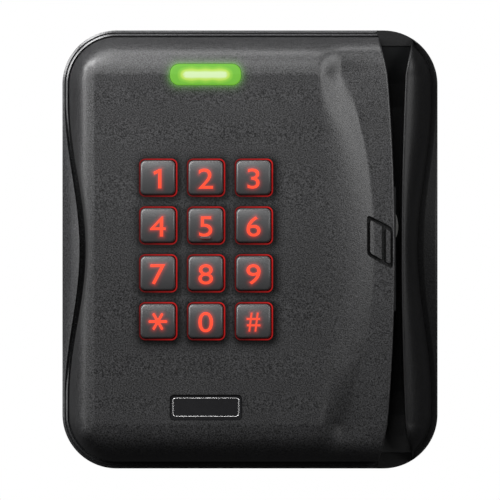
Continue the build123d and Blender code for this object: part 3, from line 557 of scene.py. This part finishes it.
LAB = [["1", "2", "3"], ["4", "5", "6"], ["7", "8", "9"], ["star", "0", "hash"]]
KEYS = [(LAB[r][c], KEY_CU + (c - 1) * PITCH, KEY_CV + (1.5 - r) * PITCH) for r in range(4) for c in range(3)]
parts = [rbox(u, v, 11.3, 11.3, 1.8, 24, 34) for _, u, v in KEYS]
parts.append(rbox(LENS_U, LENS_V, LENS_L + 0.2, LENS_H + 0.2, LENS_R + 0.1, 20, 34, 64))
bf = FRONT - A_FRONT * BADGE_V ** 2 - 0.9
parts.append(rbox(BADGE_U, BADGE_V, BADGE_L, BADGE_H, 1.3, bf, 34, 64))
parts.append(rbox(41.5, 0.15, 7.0, 36.7, 0.05, 9, 26.9, 8))
for s in (-1, 1):
    pass
# engraved card outline: one closed groove and a stripe, as narrow prisms
def band(poly, wd_, w0, w1):
    poly = np.asarray(poly, float); k = len(poly)
    out, inn = [], []
    c = poly.mean(0)
    for i in range(k):
        p0, p1, p2 = poly[i - 1], poly[i], poly[(i + 1) % k]
        a = (p1 - p0) / np.linalg.norm(p1 - p0); b = (p2 - p1) / np.linalg.norm(p2 - p1)
        nb = np.array([a[1], -a[0]]) + np.array([b[1], -b[0]]); nb /= np.linalg.norm(nb)
        cosv = max(0.4, nb @ np.array([a[1], -a[0]]))
        if (p1 + nb - c) @ nb < 0: nb = -nb
        out.append(p1 + nb * wd_ / 2 / cosv); inn.append(p1 - nb * wd_ / 2 / cosv)
    out, inn = np.array(out), np.array(inn)
    P = np.concatenate([W(out[:, 0], out[:, 1], np.full(k, w0)), W(inn[:, 0], inn[:, 1], np.full(k, w0)),
                        W(out[:, 0], out[:, 1], np.full(k, w1)), W(inn[:, 0], inn[:, 1], np.full(k, w1))])
    F = []
    for i in range(k):
        j = (i + 1) % k
        F += [[i, j, k + j, k + i], [2 * k + i, 3 * k + i, 3 * k + j, 2 * k + j], [i, 2 * k + i, 2 * k + j, j],
              [k + i, k + j, 3 * k + j, 3 * k + i]]
    return P, F


def rounded_poly(pts, r, k=6):
    pts = np.asarray(pts, float); out = []
    for i in range(len(pts)):
        p0, p1, p2 = pts[i - 1], pts[i], pts[(i + 1) % len(pts)]
        a = (p0 - p1) / np.linalg.norm(p0 - p1); b = (p2 - p1) / np.linalg.norm(p2 - p1)
        for t in np.linspace(0, 1, k):
            out.append((1 - t) ** 2 * (p1 + a * r) + 2 * t * (1 - t) * p1 + t * t * (p1 + b * r))
    return np.array(out)


def ring_prism(outer, inner, w0, w1):
    """Prism of the band between two loops with matched stations."""
    out, inn = np.asarray(outer, float), np.asarray(inner, float); k = len(out)
    P = np.concatenate([W(out[:, 0], out[:, 1], np.full(k, w0)), W(inn[:, 0], inn[:, 1], np.full(k, w0)),
                        W(out[:, 0], out[:, 1], np.full(k, w1)), W(inn[:, 0], inn[:, 1], np.full(k, w1))])
    F = []
    for i in range(k):
        j = (i + 1) % k
        F += [[i, j, k + j, k + i], [2 * k + i, 3 * k + i, 3 * k + j, 2 * k + j], [i, 2 * k + i, 2 * k + j, j],
              [k + i, k + j, 3 * k + j, 3 * k + i]]
    return P, F


card_out = rounded_poly([(34.47, -1.75), (42.16, -5.95), (42.16, 6.45), (34.47, 10.35)], 1.5)
card_in = rounded_poly([(35.48, -1.05), (41.42, -4.30), (41.42, 5.30), (35.48, 8.75)], 0.8)
ICON = 27.75
parts.append(ring_prism(card_out, card_in, ICON, 34))
VV, FF, off = [], [], 0
for P_, F_ in parts:
    VV.append(P_); FF += [[i + off for i in f] for f in F_]; off += len(P_)
cut = mesh_obj("cutter", np.concatenate(VV), FF, False)
outward(cut)
stripe_p = prism_ring([(38.86, -3.4), (40.16, -4.1), (40.16, 6.55), (38.86, 7.25)], ICON, 34)
cut2 = mesh_obj("cutter_b", *stripe_p, False)
outward(cut2)
for c_ in (cut, cut2):
    bo = cover.modifiers.new("cut", "BOOLEAN"); bo.operation = "DIFFERENCE"; bo.object = c_
    bo.solver = "MANIFOLD"
dg = bpy.context.evaluated_depsgraph_get()
new = D.meshes.new_from_object(cover.evaluated_get(dg))
print("cover faces", len(cover.data.polygons), "->", len(new.polygons))
cover.modifiers.clear(); old = cover.data; cover.data = new; D.meshes.remove(old)
D.objects.remove(cut, do_unlink=True); D.objects.remove(cut2, do_unlink=True)
auto_smooth(cover, 35)
u, v, w = coords(cover)


def rr_dist(u, v, cu, cv, lx, ly, r):
    qx, qy = np.abs(u - cu) - (lx / 2 - r), np.abs(v - cv) - (ly / 2 - r)
    return np.hypot(np.maximum(qx, 0), np.maximum(qy, 0)) + np.minimum(np.maximum(qx, qy), 0) - r


dl = rr_dist(u, v, LENS_U, LENS_V, LENS_L, LENS_H, LENS_R)
# painted light: green lens glow on the cover, fading with distance from the lens
painted_lens_spill = np.where(dl < 6, 0.30 * np.exp(-np.maximum(dl, 0) / 0.65), 0)
fattr(cover, "painted_lens_spill", painted_lens_spill)
in_icon = (u > 34.3) & (u < 42.3) & (v > -6.1) & (v < 10.5) & (w > 27.5) & (w < ICON + 0.05)
fattr(cover, "recess", in_icon.astype(float))
# painted shade: base colour darkened along the cover edge at the waist, with a rise in roughness there
painted_shade = bell(v) ** 0.6 * np.clip(1 - (u - left_edge(v)) / 2.0, 0, 1)
dull_ = 0.45 * painted_shade
# painted drop shadows: the cover is darkened below and to the right of each key
for _, ku_, kv_ in KEYS:
    dk_ = rr_dist(u, v, ku_ + 0.45, kv_ - 0.50, 11.3, 11.3, 1.8)
    near_ = np.exp(-(np.maximum(dk_, 0) / 1.5) ** 1.5) * (w > 25)
    painted_shade = np.maximum(painted_shade, 0.95 * near_)
    dull_ = np.where(near_ > 0.02, -0.07 * near_, dull_)
fattr(cover, "shade", painted_shade); fattr(cover, "dull", dull_)
assign(cover, cover_mat[0])
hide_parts("front_cover"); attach(cover, "reader_body")

# ------------------------------------------------------------------ status lens
def dome_plate(name, cu, cv, lx, ly, r, zfun, depth, rings=26, n=128, crown=0.25, edge=0.5):
    P, tags = [], []
    for k in range(rings):
        f = k / (rings - 1)
        inset = (min(lx, ly) / 2 - 0.05) * f
        ring = rr_ring(n, lx, ly, r, inset) + np.array([cu, cv])
        e_ = min(inset / edge, 1.0)
        z = zfun(ring[:, 0], ring[:, 1]) - edge * 0.5 * (1 - math.sqrt(max(0, 1 - (1 - e_) ** 2))) + crown * (1 - (1 - f) ** 2)
        P.append(W(ring[:, 0], ring[:, 1], z))
    base = rr_ring(n, lx, ly, r) + np.array([cu, cv])
    z0 = zfun(base[:, 0], base[:, 1]) - depth
    P.insert(0, W(base[:, 0], base[:, 1], z0))
    P.insert(0, W(base[:, 0] * 0 + cu, base[:, 1] * 0 + cv, z0)[:1])
    F = []
    for i in range(n):
        F.append([0, 1 + (i + 1) % n, 1 + i])
    rings += 1
    for k in range(rings - 1):
        a = 1 + k * n; b = a + n
        for i in range(n):
            j = (i + 1) % n
            F.append([a + i, a + j, b + j, b + i])
    last, k = 1 + (rings - 1) * n, n // 8
    for i in range(-(k // 2), 3 * k + k // 2):
        q4 = [last + (x % n) for x in (i, i + 1, 7 * k - i - 1, 7 * k - i)]
        q4 = [x for j, x in enumerate(q4) if x not in q4[:j]]
        if len(q4) > 2: F.append(q4)
    ob = mesh_obj(name, np.concatenate(P), F)
    outward(ob); auto_smooth(ob, 50)
    return ob


lens = dome_plate("status_window", LENS_U, LENS_V, LENS_L, LENS_H, LENS_R, lambda a, b: cover_h(a, b) + 0.0, 2.6, crown=0.12, edge=0.5)
u, v, w = coords(lens)
dc = rr_dist(u, v, LENS_U - 0.1, LENS_V - 0.05, 12.2, 1.1, 0.5)
core = np.clip(1 - np.maximum(dc, 0) / (2.15 + 0.22 * np.cos((u - LENS_U) * 2 * math.pi / 4.1)), 0, 1) ** 1.05
fattr(lens, "core", core)
assign(lens, lens_m)
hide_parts("status_lens"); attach(lens, "reader_body")

# ------------------------------------------------------------------ swipe rail
def rail_rows():
    core = np.arange(-47.5, 47.6, 0.5)
    tip = 48.0 + (62.17 - 48.0) * np.sin(np.linspace(0, 1, 40) * math.pi / 2)
    return np.concatenate([-tip[::-1], core, tip])


v1 = rail_rows()
dv = np.maximum(np.abs(v1) - CV, 0)
uo = np.where(dv > 0, CU + np.sqrt(np.maximum(RO * RO - dv * dv, 0)), HW)
ue = slot_right(v1)
uo = np.maximum(uo, ue + 0.004)
bl = bell(v1)
# in the corner the valley and the crest follow the outline
rimw = 1.35 + 0.25 * bl
uc = np.where(dv > 0, uo - 0.42, 55.02 - 3.84 * bl)
nrm = np.where(dv > 0, (uo - CU) / RO, 1.0)
uc = np.where(dv > 0, uo - 0.42 / np.maximum(nrm, 0.3), uc)
uv = np.where(dv > 0, uo - (0.42 + 1.45) / np.maximum(nrm, 0.3), uc - (1.45 + 0.25 * bl))
uv = np.maximum(uv, ue + 0.25 * (uo - ue)); uc = np.maximum(uc, uv + 0.3 * (uo - uv))
topw = RAIL_TOP - A_LOW * np.minimum(np.abs(v1), 51.5) ** 2
endt = np.clip((62.6 - np.abs(v1)) / 11.0, 0, 1)
topw = 15.9 + (topw - 15.9) * roll(endt, 2.2)
crest = 15.4 + 3.2 * bl
valley = crest - 0.60 - 0.12 * bl
ka = np.concatenate([[0], np.array([0.25, 0.5, 0.8, 1.2, 1.8]) / 100.0])
rows = []
hs = []
kb = np.linspace(0, 1, 44)
for i in range(len(v1)):
    W0 = uv[i] - ue[i]
    rf = min(0.45, W0 * 0.25)                        # radius of the slot lip
    a = np.linspace(0, 1, 7)
    uu = [ue[i] + rf * (1 - math.cos(x * math.pi / 2)) for x in a]
    hh = [topw[i] - rf * (1 - math.sin(x * math.pi / 2)) for x in a]
    t = np.linspace(0, 1, 44)[1:]
    x_ = (t * 0.9 + 0.1 * t ** 2)
    span_ = W0 - rf
    uu += list(ue[i] + rf + span_ * x_)
    base = valley[i]
    fall = 1 - np.power(np.clip(1 - x_ ** 1.75, 0, 1), 0.62)
    hh += list(topw[i] + (base - topw[i]) * fall)
    # ridge: a rounded band that faces the body
    t = np.linspace(0, 1, 9)[1:]
    uu += list(uv[i] + (uc[i] - uv[i]) * t)
    hh += list(base + (crest[i] - base) * (0.75 * t + 0.25 * np.sin(t * math.pi / 2)))
    # shoulder
    t = np.linspace(0, 1, 16)[1:]
    uu += list(uc[i] + (uo[i] - uc[i]) * t)
    sh = crest[i] - (crest[i] - 13.6) * (0.99 * (1 - np.sqrt(np.clip(1 - t ** 40, 0, 1))))
    hh += list(sh)
    rows.append(uu); hs.append(hh)
U = np.array(rows); H = np.array(hs); V = np.repeat(v1[:, None], U.shape[1], 1)
n, m = U.shape
loop = rim_loop(n, m)
lu, lv, lh = U.ravel()[loop], V.ravel()[loop], H.ravel()[loop]
on_slot = (np.abs(lu - slot_right(lv)) < 0.01) & (np.abs(lv) < 57)
wb = np.where(on_slot, 9.96, 13.04)
P = [W(U, V, H).reshape(-1, 3), W(lu, lv, wb)]
K = np.arange(len(loop)); o1 = n * m
bot = W(U, V, np.full(U.shape, 13.04)).reshape(-1, 3)
bot.reshape(n, m, 3)[:, 0, 1] = np.where(np.abs(v1) < 57, -9.96, -13.04) * MM
bot.reshape(n, m, 3)[:, 1:8, 1] = np.where(np.abs(v1) < 57, -9.96, -13.04)[:, None] * MM
F = [grid_faces(n, m), bridge(loop, o1 + loop), grid_faces(n, m, o1, True)]
rail = mesh_obj("rail_body", np.concatenate([P[0], bot]), np.concatenate(F))
outward(rail); auto_smooth(rail, 40)
assign(rail, rail_mat[0])
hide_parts("swipe_rail"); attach(rail, "reader_body")

# ------------------------------------------------------------------ bezel frame
def bezel():
    st = []      # stations: outer point, inner point, bell value
    top = np.linspace(37.42, -CU, 60)
    for x in top: st.append(((x, HH), (min(x, slot_left(C_V) - 0.02) if x < 37.4 else 37.9, C_V + 0.1), 0))
    for a in np.linspace(90, 180, 60)[1:]:
        c, s_ = math.cos(math.radians(a)), math.sin(math.radians(a))
        st.append(((-CU + RO * c, CV + RO * s_), (C_UL + C_R + (C_R + 0.1) * c, C_V - C_R + (C_R + 0.1) * s_), 0))
    for y in np.linspace(48.6, -48.6, 260)[1:-1]:
        st.append(((-HW, y), (float(left_edge(y)) - 0.1, y), float(bell(y))))
    for a in np.linspace(180, 270, 60):
        c, s_ = math.cos(math.radians(a)), math.sin(math.radians(a))
        st.append(((-CU + RO * c, -CV + RO * s_), (C_UL + C_R + (C_R + 0.1) * c, -C_V + C_R + (C_R + 0.1) * s_), 0))
    for x in top[::-1][1:]: st.append(((x, -HH), (min(x, slot_left(C_V) - 0.02) if x < 37.4 else 37.9, -C_V - 0.1), 0))
    P = []
    for (ox, oy), (ix, iy), b in st:
        L_ = math.hypot(ix - ox, iy - oy)
        dx, dy = (ix - ox) / L_, (iy - oy) / L_
        dc_ = 0.62 + 4.43 * b                      # distance from the silhouette to the crest
        hc = 14.15 + 5.0 * b
        h0 = 13.90 - 0.60 * b
        kk = 1 - 0.40 * b
        flat = 0.22 * (1 - b)
        pr = [(0, 13.04), (0, h0 - 0.1)]
        for t in np.linspace(0, 1, 15):
            pr.append((0.02 + flat + (dc_ - 0.02 - flat) * t, h0 + (hc - h0) * ((1 - kk) * (1 - (1 - t) ** 3.2) + kk * t)))
        g = L_ - dc_                               # groove between crest and cover
        low = 13.60
        lip = float(1 - smooth(b * 1.6)) * 0.40
        pr += [(dc_ + 0.035 * g, hc - 0.05), (dc_ + 0.06 * g, hc - 0.25 - 0.4 * (hc - low) * b), (dc_ + 0.09 * g, low), (dc_ + 0.22 * g, low)]
        pr.append((dc_ + 0.235 * g, low + 0.62 * lip))
        for t in (0.2, 0.5, 0.8, 1.0):
            pr.append((dc_ + (0.235 + 0.40 * t) * g, low + lip * (0.62 + 0.85 * t)))
        pr += [(dc_ + 0.66 * g, low + lip * 1.4), (dc_ + 0.70 * g, low - 0.25), (L_, low - 0.25), (L_, 13.04)]
        P.append(W([ox + dx * d for d, _ in pr], [oy + dy * d for d, _ in pr], [h for _, h in pr]))
    P = np.array(P); n, m, _ = P.shape
    F = list(map(list, grid_faces(n, m)))
    for i in range(n - 1):
        F.append([i * m, (i + 1) * m, (i + 1) * m + m - 1, i * m + m - 1])
    F.append(list(range(m))); F.append([(n - 1) * m + k for k in range(m)][::-1])
    ob = mesh_obj("bezel_lips", P.reshape(-1, 3), F)
    outward(ob); auto_smooth(ob, 60)
    return ob


bez = bezel()
assign(bez, bezel_mat[0])
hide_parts("bezel_frame"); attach(bez, "reader_body")

# ------------------------------------------------------------------ key caps and legends
def text_mesh(ch, size, off, shear=0.0, bold=0.0):
    cu_ = D.curves.new("t_" + ch, "FONT")
    cu_.body = ch; cu_.size = size; cu_.extrude = 0.02; cu_.offset = off; cu_.shear = shear
    cu_.resolution_u = 8; cu_.align_x = "CENTER"; cu_.align_y = "CENTER"
    ob = D.objects.new("t", cu_); sc.collection.objects.link(ob)
    dg = bpy.context.evaluated_depsgraph_get()
    me = D.meshes.new_from_object(ob.evaluated_get(dg))
    D.objects.remove(ob, do_unlink=True); D.curves.remove(cu_)
    co = np.empty(len(me.vertices) * 3, np.float32); me.vertices.foreach_get("co", co)
    return me, co.reshape(-1, 3).astype(float)


def star_mesh(R=2.75, t=0.38):
    P, F = [], []
    for k in range(3):
        a = math.radians(60 * k)
        ring = rr_ring(24, 2 * R, 2 * t, t * 0.9)
        c, s_ = math.cos(a), math.sin(a)
        pts = np.stack([ring[:, 0] * c - ring[:, 1] * s_, ring[:, 0] * s_ + ring[:, 1] * c], 1)
        o = sum(len(p) for p in P); n_ = len(pts); z = 0.02 + 0.001 * k
        P.append(np.column_stack([pts, np.full(n_, -z)])); P.append(np.column_stack([pts, np.full(n_, z)]))
        F += [[o + i for i in range(n_)][::-1], [o + n_ + i for i in range(n_)]]
        F += [[o + i, o + (i + 1) % n_, o + n_ + (i + 1) % n_, o + n_ + i] for i in range(n_)]
    return np.concatenate(P), F


CAP, CAPR = 10.15, 1.45
KEY_SHIFT = -0.10


def cap_z(x, y):
    """Cushioned key top: more crown up and down than across."""
    return 32.45 - 0.0335 * (y + 0.35) ** 2 - 0.0085 * x ** 2


def make_key(label, ku, kv):
    n_, P = 128, []
    for h in (28.0, 30.0, 31.0):
        P.append(np.column_stack([rr_ring(n_, CAP, CAP, CAPR, 0), np.full(n_, h)]))
    fr = 0.62
    ins = list(fr * (1 - np.cos(np.linspace(0, math.pi / 2, 12)))) + list(np.linspace(fr, CAP / 2 - 0.04, 34)[1:])
    for q_ in ins:
        g = rr_ring(n_, CAP, CAP, CAPR, 0) if q_ <= 0 else rr_ring(n_, CAP, CAP, CAPR, q_)
        e_ = min(q_ / fr, 1.0)
        P.append(np.column_stack([g, cap_z(g[:, 0], g[:, 1]) - 0.55 * (1 - math.sqrt(max(0, 1 - (1 - e_) ** 2)))]))
    P.append(np.array([[0, 0, float(cap_z(0.0, 0.0))]]))
    P = np.concatenate(P)
    nr_ = (len(P) - 1) // n_
    F = []
    for k in range(nr_ - 1):
        for i in range(n_):
            j = (i + 1) % n_
            F.append([k * n_ + i, k * n_ + j, (k + 1) * n_ + j, (k + 1) * n_ + i])
    c = len(P) - 1
    for i in range(n_):
        F.append([(nr_ - 1) * n_ + i, (nr_ - 1) * n_ + (i + 1) % n_, c])
    # retaining flange under the cover and the closed underside
    o = len(P)
    P = np.concatenate([P] + [np.column_stack([rr_ring(n_, CAP, CAP, CAPR, a_), np.full(n_, h)])
                              for a_, h in ((0.0, 27.95), (-1.05, 27.95), (-1.05, 26.95))])
    chain = [0, o, o + n_, o + 2 * n_]
    for a, b in zip(chain[:-1], chain[1:]):
        for i in range(n_):
            j = (i + 1) % n_
            F.append([b + i, b + j, a + j, a + i])
    F.append([o + 2 * n_ + i for i in range(n_)][::-1])
    ob = mesh_obj("cap_" + label, W(P[:, 0] + ku, P[:, 1] + kv, P[:, 2]), F)
    outward(ob); auto_smooth(ob, 45)
    return ob


def sliced(verts, faces, step=0.45, reach=3.6):
    """Cuts a thin legend into small pieces, so that it can follow the crown of the key."""
    bm = bmesh.new()
    vs_ = [bm.verts.new(tuple(map(float, p))) for p in verts]
    for f in faces:
        try:
            bm.faces.new([vs_[i] for i in f])
        except ValueError:
            pass
    for ax in (0, 1):
        for x in np.arange(-reach, reach + 0.01, step):
            co_ = [0, 0, 0]; no_ = [0, 0, 0]; co_[ax] = float(x) + 0.013; no_[ax] = 1
            bmesh.ops.bisect_plane(bm, geom=bm.verts[:] + bm.edges[:] + bm.faces[:], plane_co=co_, plane_no=no_, dist=1e-5)
    bmesh.ops.recalc_face_normals(bm, faces=bm.faces)
    bm.verts.index_update()
    P = np.array([list(q.co) for q in bm.verts]); F = [[q.index for q in f.verts] for f in bm.faces]
    bm.free()
    return P, F


ONE = [(1.05, -2.85), (1.05, 2.85), (0.40, 2.85), (-1.30, 1.95), (-1.02, 1.18), (0.12, 1.72), (0.12, -2.85)]


def one_mesh():
    k_ = len(ONE)
    P = np.array([(x, y, -0.02) for x, y in ONE] + [(x, y, 0.02) for x, y in ONE])
    F = [list(range(k_)), [k_ + i for i in range(k_)][::-1]] + [[i, (i + 1) % k_, k_ + (i + 1) % k_, k_ + i] for i in range(k_)]
    return P, F


glyph = {"star": "*", "hash": "#"}
for label, ku, kv in KEYS:
    kr, ku = ku, ku + KEY_SHIFT
    ob = make_key(label, ku, kv)
    if label == "star":
        co, faces = star_mesh()
    elif label == "1":
        co, faces = one_mesh()
    else:
        me, co = text_mesh(glyph.get(label, label), 8.35 if label != "hash" else 7.6, 0.0, 0.0 if label != "hash" else -0.06)
        faces = [list(p.vertices) for p in me.polygons]
        D.meshes.remove(me)
        c = (co.max(0) + co.min(0)) / 2
        co[:, 0] -= c[0]; co[:, 1] -= c[1]
    hgt = co[:, 1].max() - co[:, 1].min()
    if label not in ("star", "1"):
        k = (5.9 if label != "hash" else 5.5) / hgt
        co[:, 0] *= k * (1.16 if label != "hash" else 0.86)
        co[:, 1] *= k
    co[:, 1] -= 0.28 if label != "star" else 0.1
    top_z = co[:, 2].max()
    co, faces = sliced(co, faces)
    zt = cap_z(co[:, 0], co[:, 1]) + np.where(co[:, 2] > 0, 0.025 + 0.3 * (co[:, 2] - 0.02), -0.05)
    lg = mesh_obj("legend_" + label, W(co[:, 0] + ku, co[:, 1] + kv, zt), faces, False)
    outward(lg)
    assign(lg, dig)
    # glow on the cap around the legend
    m_ = lg.data
    samples = []
    vs = np.array([list(q.co) for q in m_.vertices]) / MM
    for e_ in m_.edges:
        a, b = vs[e_.vertices[0]], vs[e_.vertices[1]]
        L_ = np.linalg.norm(a - b)
        for f in np.linspace(0, 1, max(2, int(L_ / 0.12) + 1)):
            samples.append(a + (b - a) * f)
    samples = np.array(samples)
    kd = kdtree.KDTree(len(samples))
    for i, s_ in enumerate(samples): kd.insert((s_[0], s_[2], 0), i)
    kd.balance()
    u, v, w = coords(ob)
    gl = np.zeros(len(u))
    for i in range(len(u)):
        if w[i] > 31.3:
            d_ = kd.find((u[i], v[i], 0))[2]
            gl[i] = 0.30 * math.exp(-(d_ / 0.42) ** 1.15)
    fattr(ob, "glow", gl)
    assign(ob, key_mat[0])
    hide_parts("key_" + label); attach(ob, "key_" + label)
    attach(lg, "key_" + label)
    if label == "5":
        P_, F_ = rbox(ku, kv - 3.62, 2.9, 0.8, 0.38, 32.0, 32.46, 48)
        nub = mesh_obj("tactile_bar", P_, F_, False); outward(nub)
        bv = nub.modifiers.new("b", "BEVEL"); bv.width = 0.00014; bv.segments = 3
        dg = bpy.context.evaluated_depsgraph_get()
        nm = D.meshes.new_from_object(nub.evaluated_get(dg)); nub.modifiers.clear(); nub.data = nm
        fattr(nub, "glow", np.full(len(nm.vertices), 0.03))
        assign(nub, key_mat[0]); auto_smooth(nub, 40)
        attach(nub, "key_5")

# ------------------------------------------------------------------ blank badge outline
def tube_ring(name, cu, cv, lx, ly, r, width, z0, z1):
    n_ = 96
    prof = [(0, z0), (0, z1 - 0.04), (0.05, z1), (width - 0.05, z1), (width, z1 - 0.04), (width, z0)]
    P = []
    for ins, z in prof:
        ring = rr_ring(n_, lx, ly, r, ins) + np.array([cu, cv])
        P.append(W(ring[:, 0], ring[:, 1], np.full(n_, z)))
    k = len(prof); F = []
    for a in range(k):
        b = (a + 1) % k
        for i in range(n_):
            j = (i + 1) % n_
            F.append([a * n_ + i, a * n_ + j, b * n_ + j, b * n_ + i])
    ob = mesh_obj(name, np.concatenate(P), F); outward(ob); auto_smooth(ob, 40)
    return ob


line = tube_ring("badge_line", BADGE_U, BADGE_V, BADGE_L - 1.7, BADGE_H - 1.9, 1.0, 0.32, bf + 0.55, bf + 0.68)
assign(line, silver_mat)
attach(line, "reader_body")

# ------------------------------------------------------------------ dome sheet under the keys
P_, F_ = prism_ring(rr_ring(48, 45.0, 55.2, 2.0) + np.array([KEY_CU, KEY_CV]), 25.6, 25.88)
sheet = mesh_obj("dome_sheet", P_, F_, False); outward(sheet)
th = np.linspace(0, 2 * math.pi, 48, endpoint=False)
PP, FF = [], []
for _, ku, kv in KEYS:
    for ring in (np.stack([ku + 4.3 * np.cos(th), kv + 4.3 * np.sin(th)], 1),
                 np.array([[ku + 6.0, kv - 1.5], [ku + 8.1, kv - 1.5], [ku + 8.1, kv + 1.5], [ku + 6.0, kv + 1.5]])):
        P_, F_ = prism_ring(ring, 25.0, 26.6)
        off = sum(len(x) for x in PP)
        PP.append(np.asarray(P_)); FF += [[int(i) + off for i in f] for f in F_]
cut = mesh_obj("cutter_c", np.concatenate(PP), FF, False); outward(cut)
bo = sheet.modifiers.new("cut", "BOOLEAN"); bo.operation = "DIFFERENCE"; bo.object = cut; bo.solver = "MANIFOLD"
dg = bpy.context.evaluated_depsgraph_get()
new = D.meshes.new_from_object(sheet.evaluated_get(dg))
sheet.modifiers.clear(); sheet.data = new
D.objects.remove(cut, do_unlink=True)
auto_smooth(sheet, 35)
assign(sheet, gasket_mat[0])
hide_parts("dome_mat"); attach(sheet, "reader_body")
prof = [(2.25, 26.93), (2.5, 26.88), (4.0, 26.0), (4.25, 25.88), (4.25, 25.6), (3.6, 25.6), (3.3, 25.9), (2.1, 26.5)]
for l_, ku, kv in KEYS:
    V_ = [W(np.array([ku]), np.array([kv]), np.array([26.93]))]
    for r_, w_ in prof:
        V_.append(W(ku + r_ * np.cos(th), kv + r_ * np.sin(th), np.full(48, w_)))
    V_.append(W(np.array([ku]), np.array([kv]), np.array([26.5])))
    n_, k_ = 48, len(prof)
    F_ = [[0, 1 + i, 1 + (i + 1) % n_] for i in range(n_)]
    for a_ in range(k_ - 1):
        F_ += [[1 + a_ * n_ + i, 1 + (a_ + 1) * n_ + i, 1 + (a_ + 1) * n_ + (i + 1) % n_, 1 + a_ * n_ + (i + 1) % n_] for i in range(n_)]
    e_ = 1 + k_ * n_
    F_ += [[e_, 1 + (k_ - 1) * n_ + (i + 1) % n_, 1 + (k_ - 1) * n_ + i] for i in range(n_)]
    dome = mesh_obj("dome_" + l_, np.concatenate(V_), F_); outward(dome); auto_smooth(dome, 40)
    assign(dome, gasket_mat[0])
    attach(dome, "reader_body")
    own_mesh(dome)

# ------------------------------------------------------------------ leaf spring behind the magnetic head
n_ = 41
y_ = np.linspace(-1, 1, n_)
bow = 34.90 + 0.90 * np.clip(1 - y_ ** 2, 0, 1) ** 1.3
P_ = np.concatenate([W(bow + du_, 6.9 + 10.15 * y_, np.full(n_, w_)) for du_, w_ in ((0, 20.0), (0.18, 20.0), (0.18, 23.8), (0, 23.8))])
F_ = [[a_ * n_ + i, a_ * n_ + i + 1, ((a_ + 1) % 4) * n_ + i + 1, ((a_ + 1) % 4) * n_ + i] for a_ in range(4) for i in range(n_ - 1)]
F_ += [[0, n_, 2 * n_, 3 * n_], [4 * n_ - 1, 3 * n_ - 1, 2 * n_ - 1, n_ - 1]]
leaf = mesh_obj("head_leaf", P_, F_); outward(leaf); auto_smooth(leaf, 40)
assign(leaf, steel_mat)
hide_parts("head_spring"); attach(leaf, "reader_body")
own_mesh(leaf)
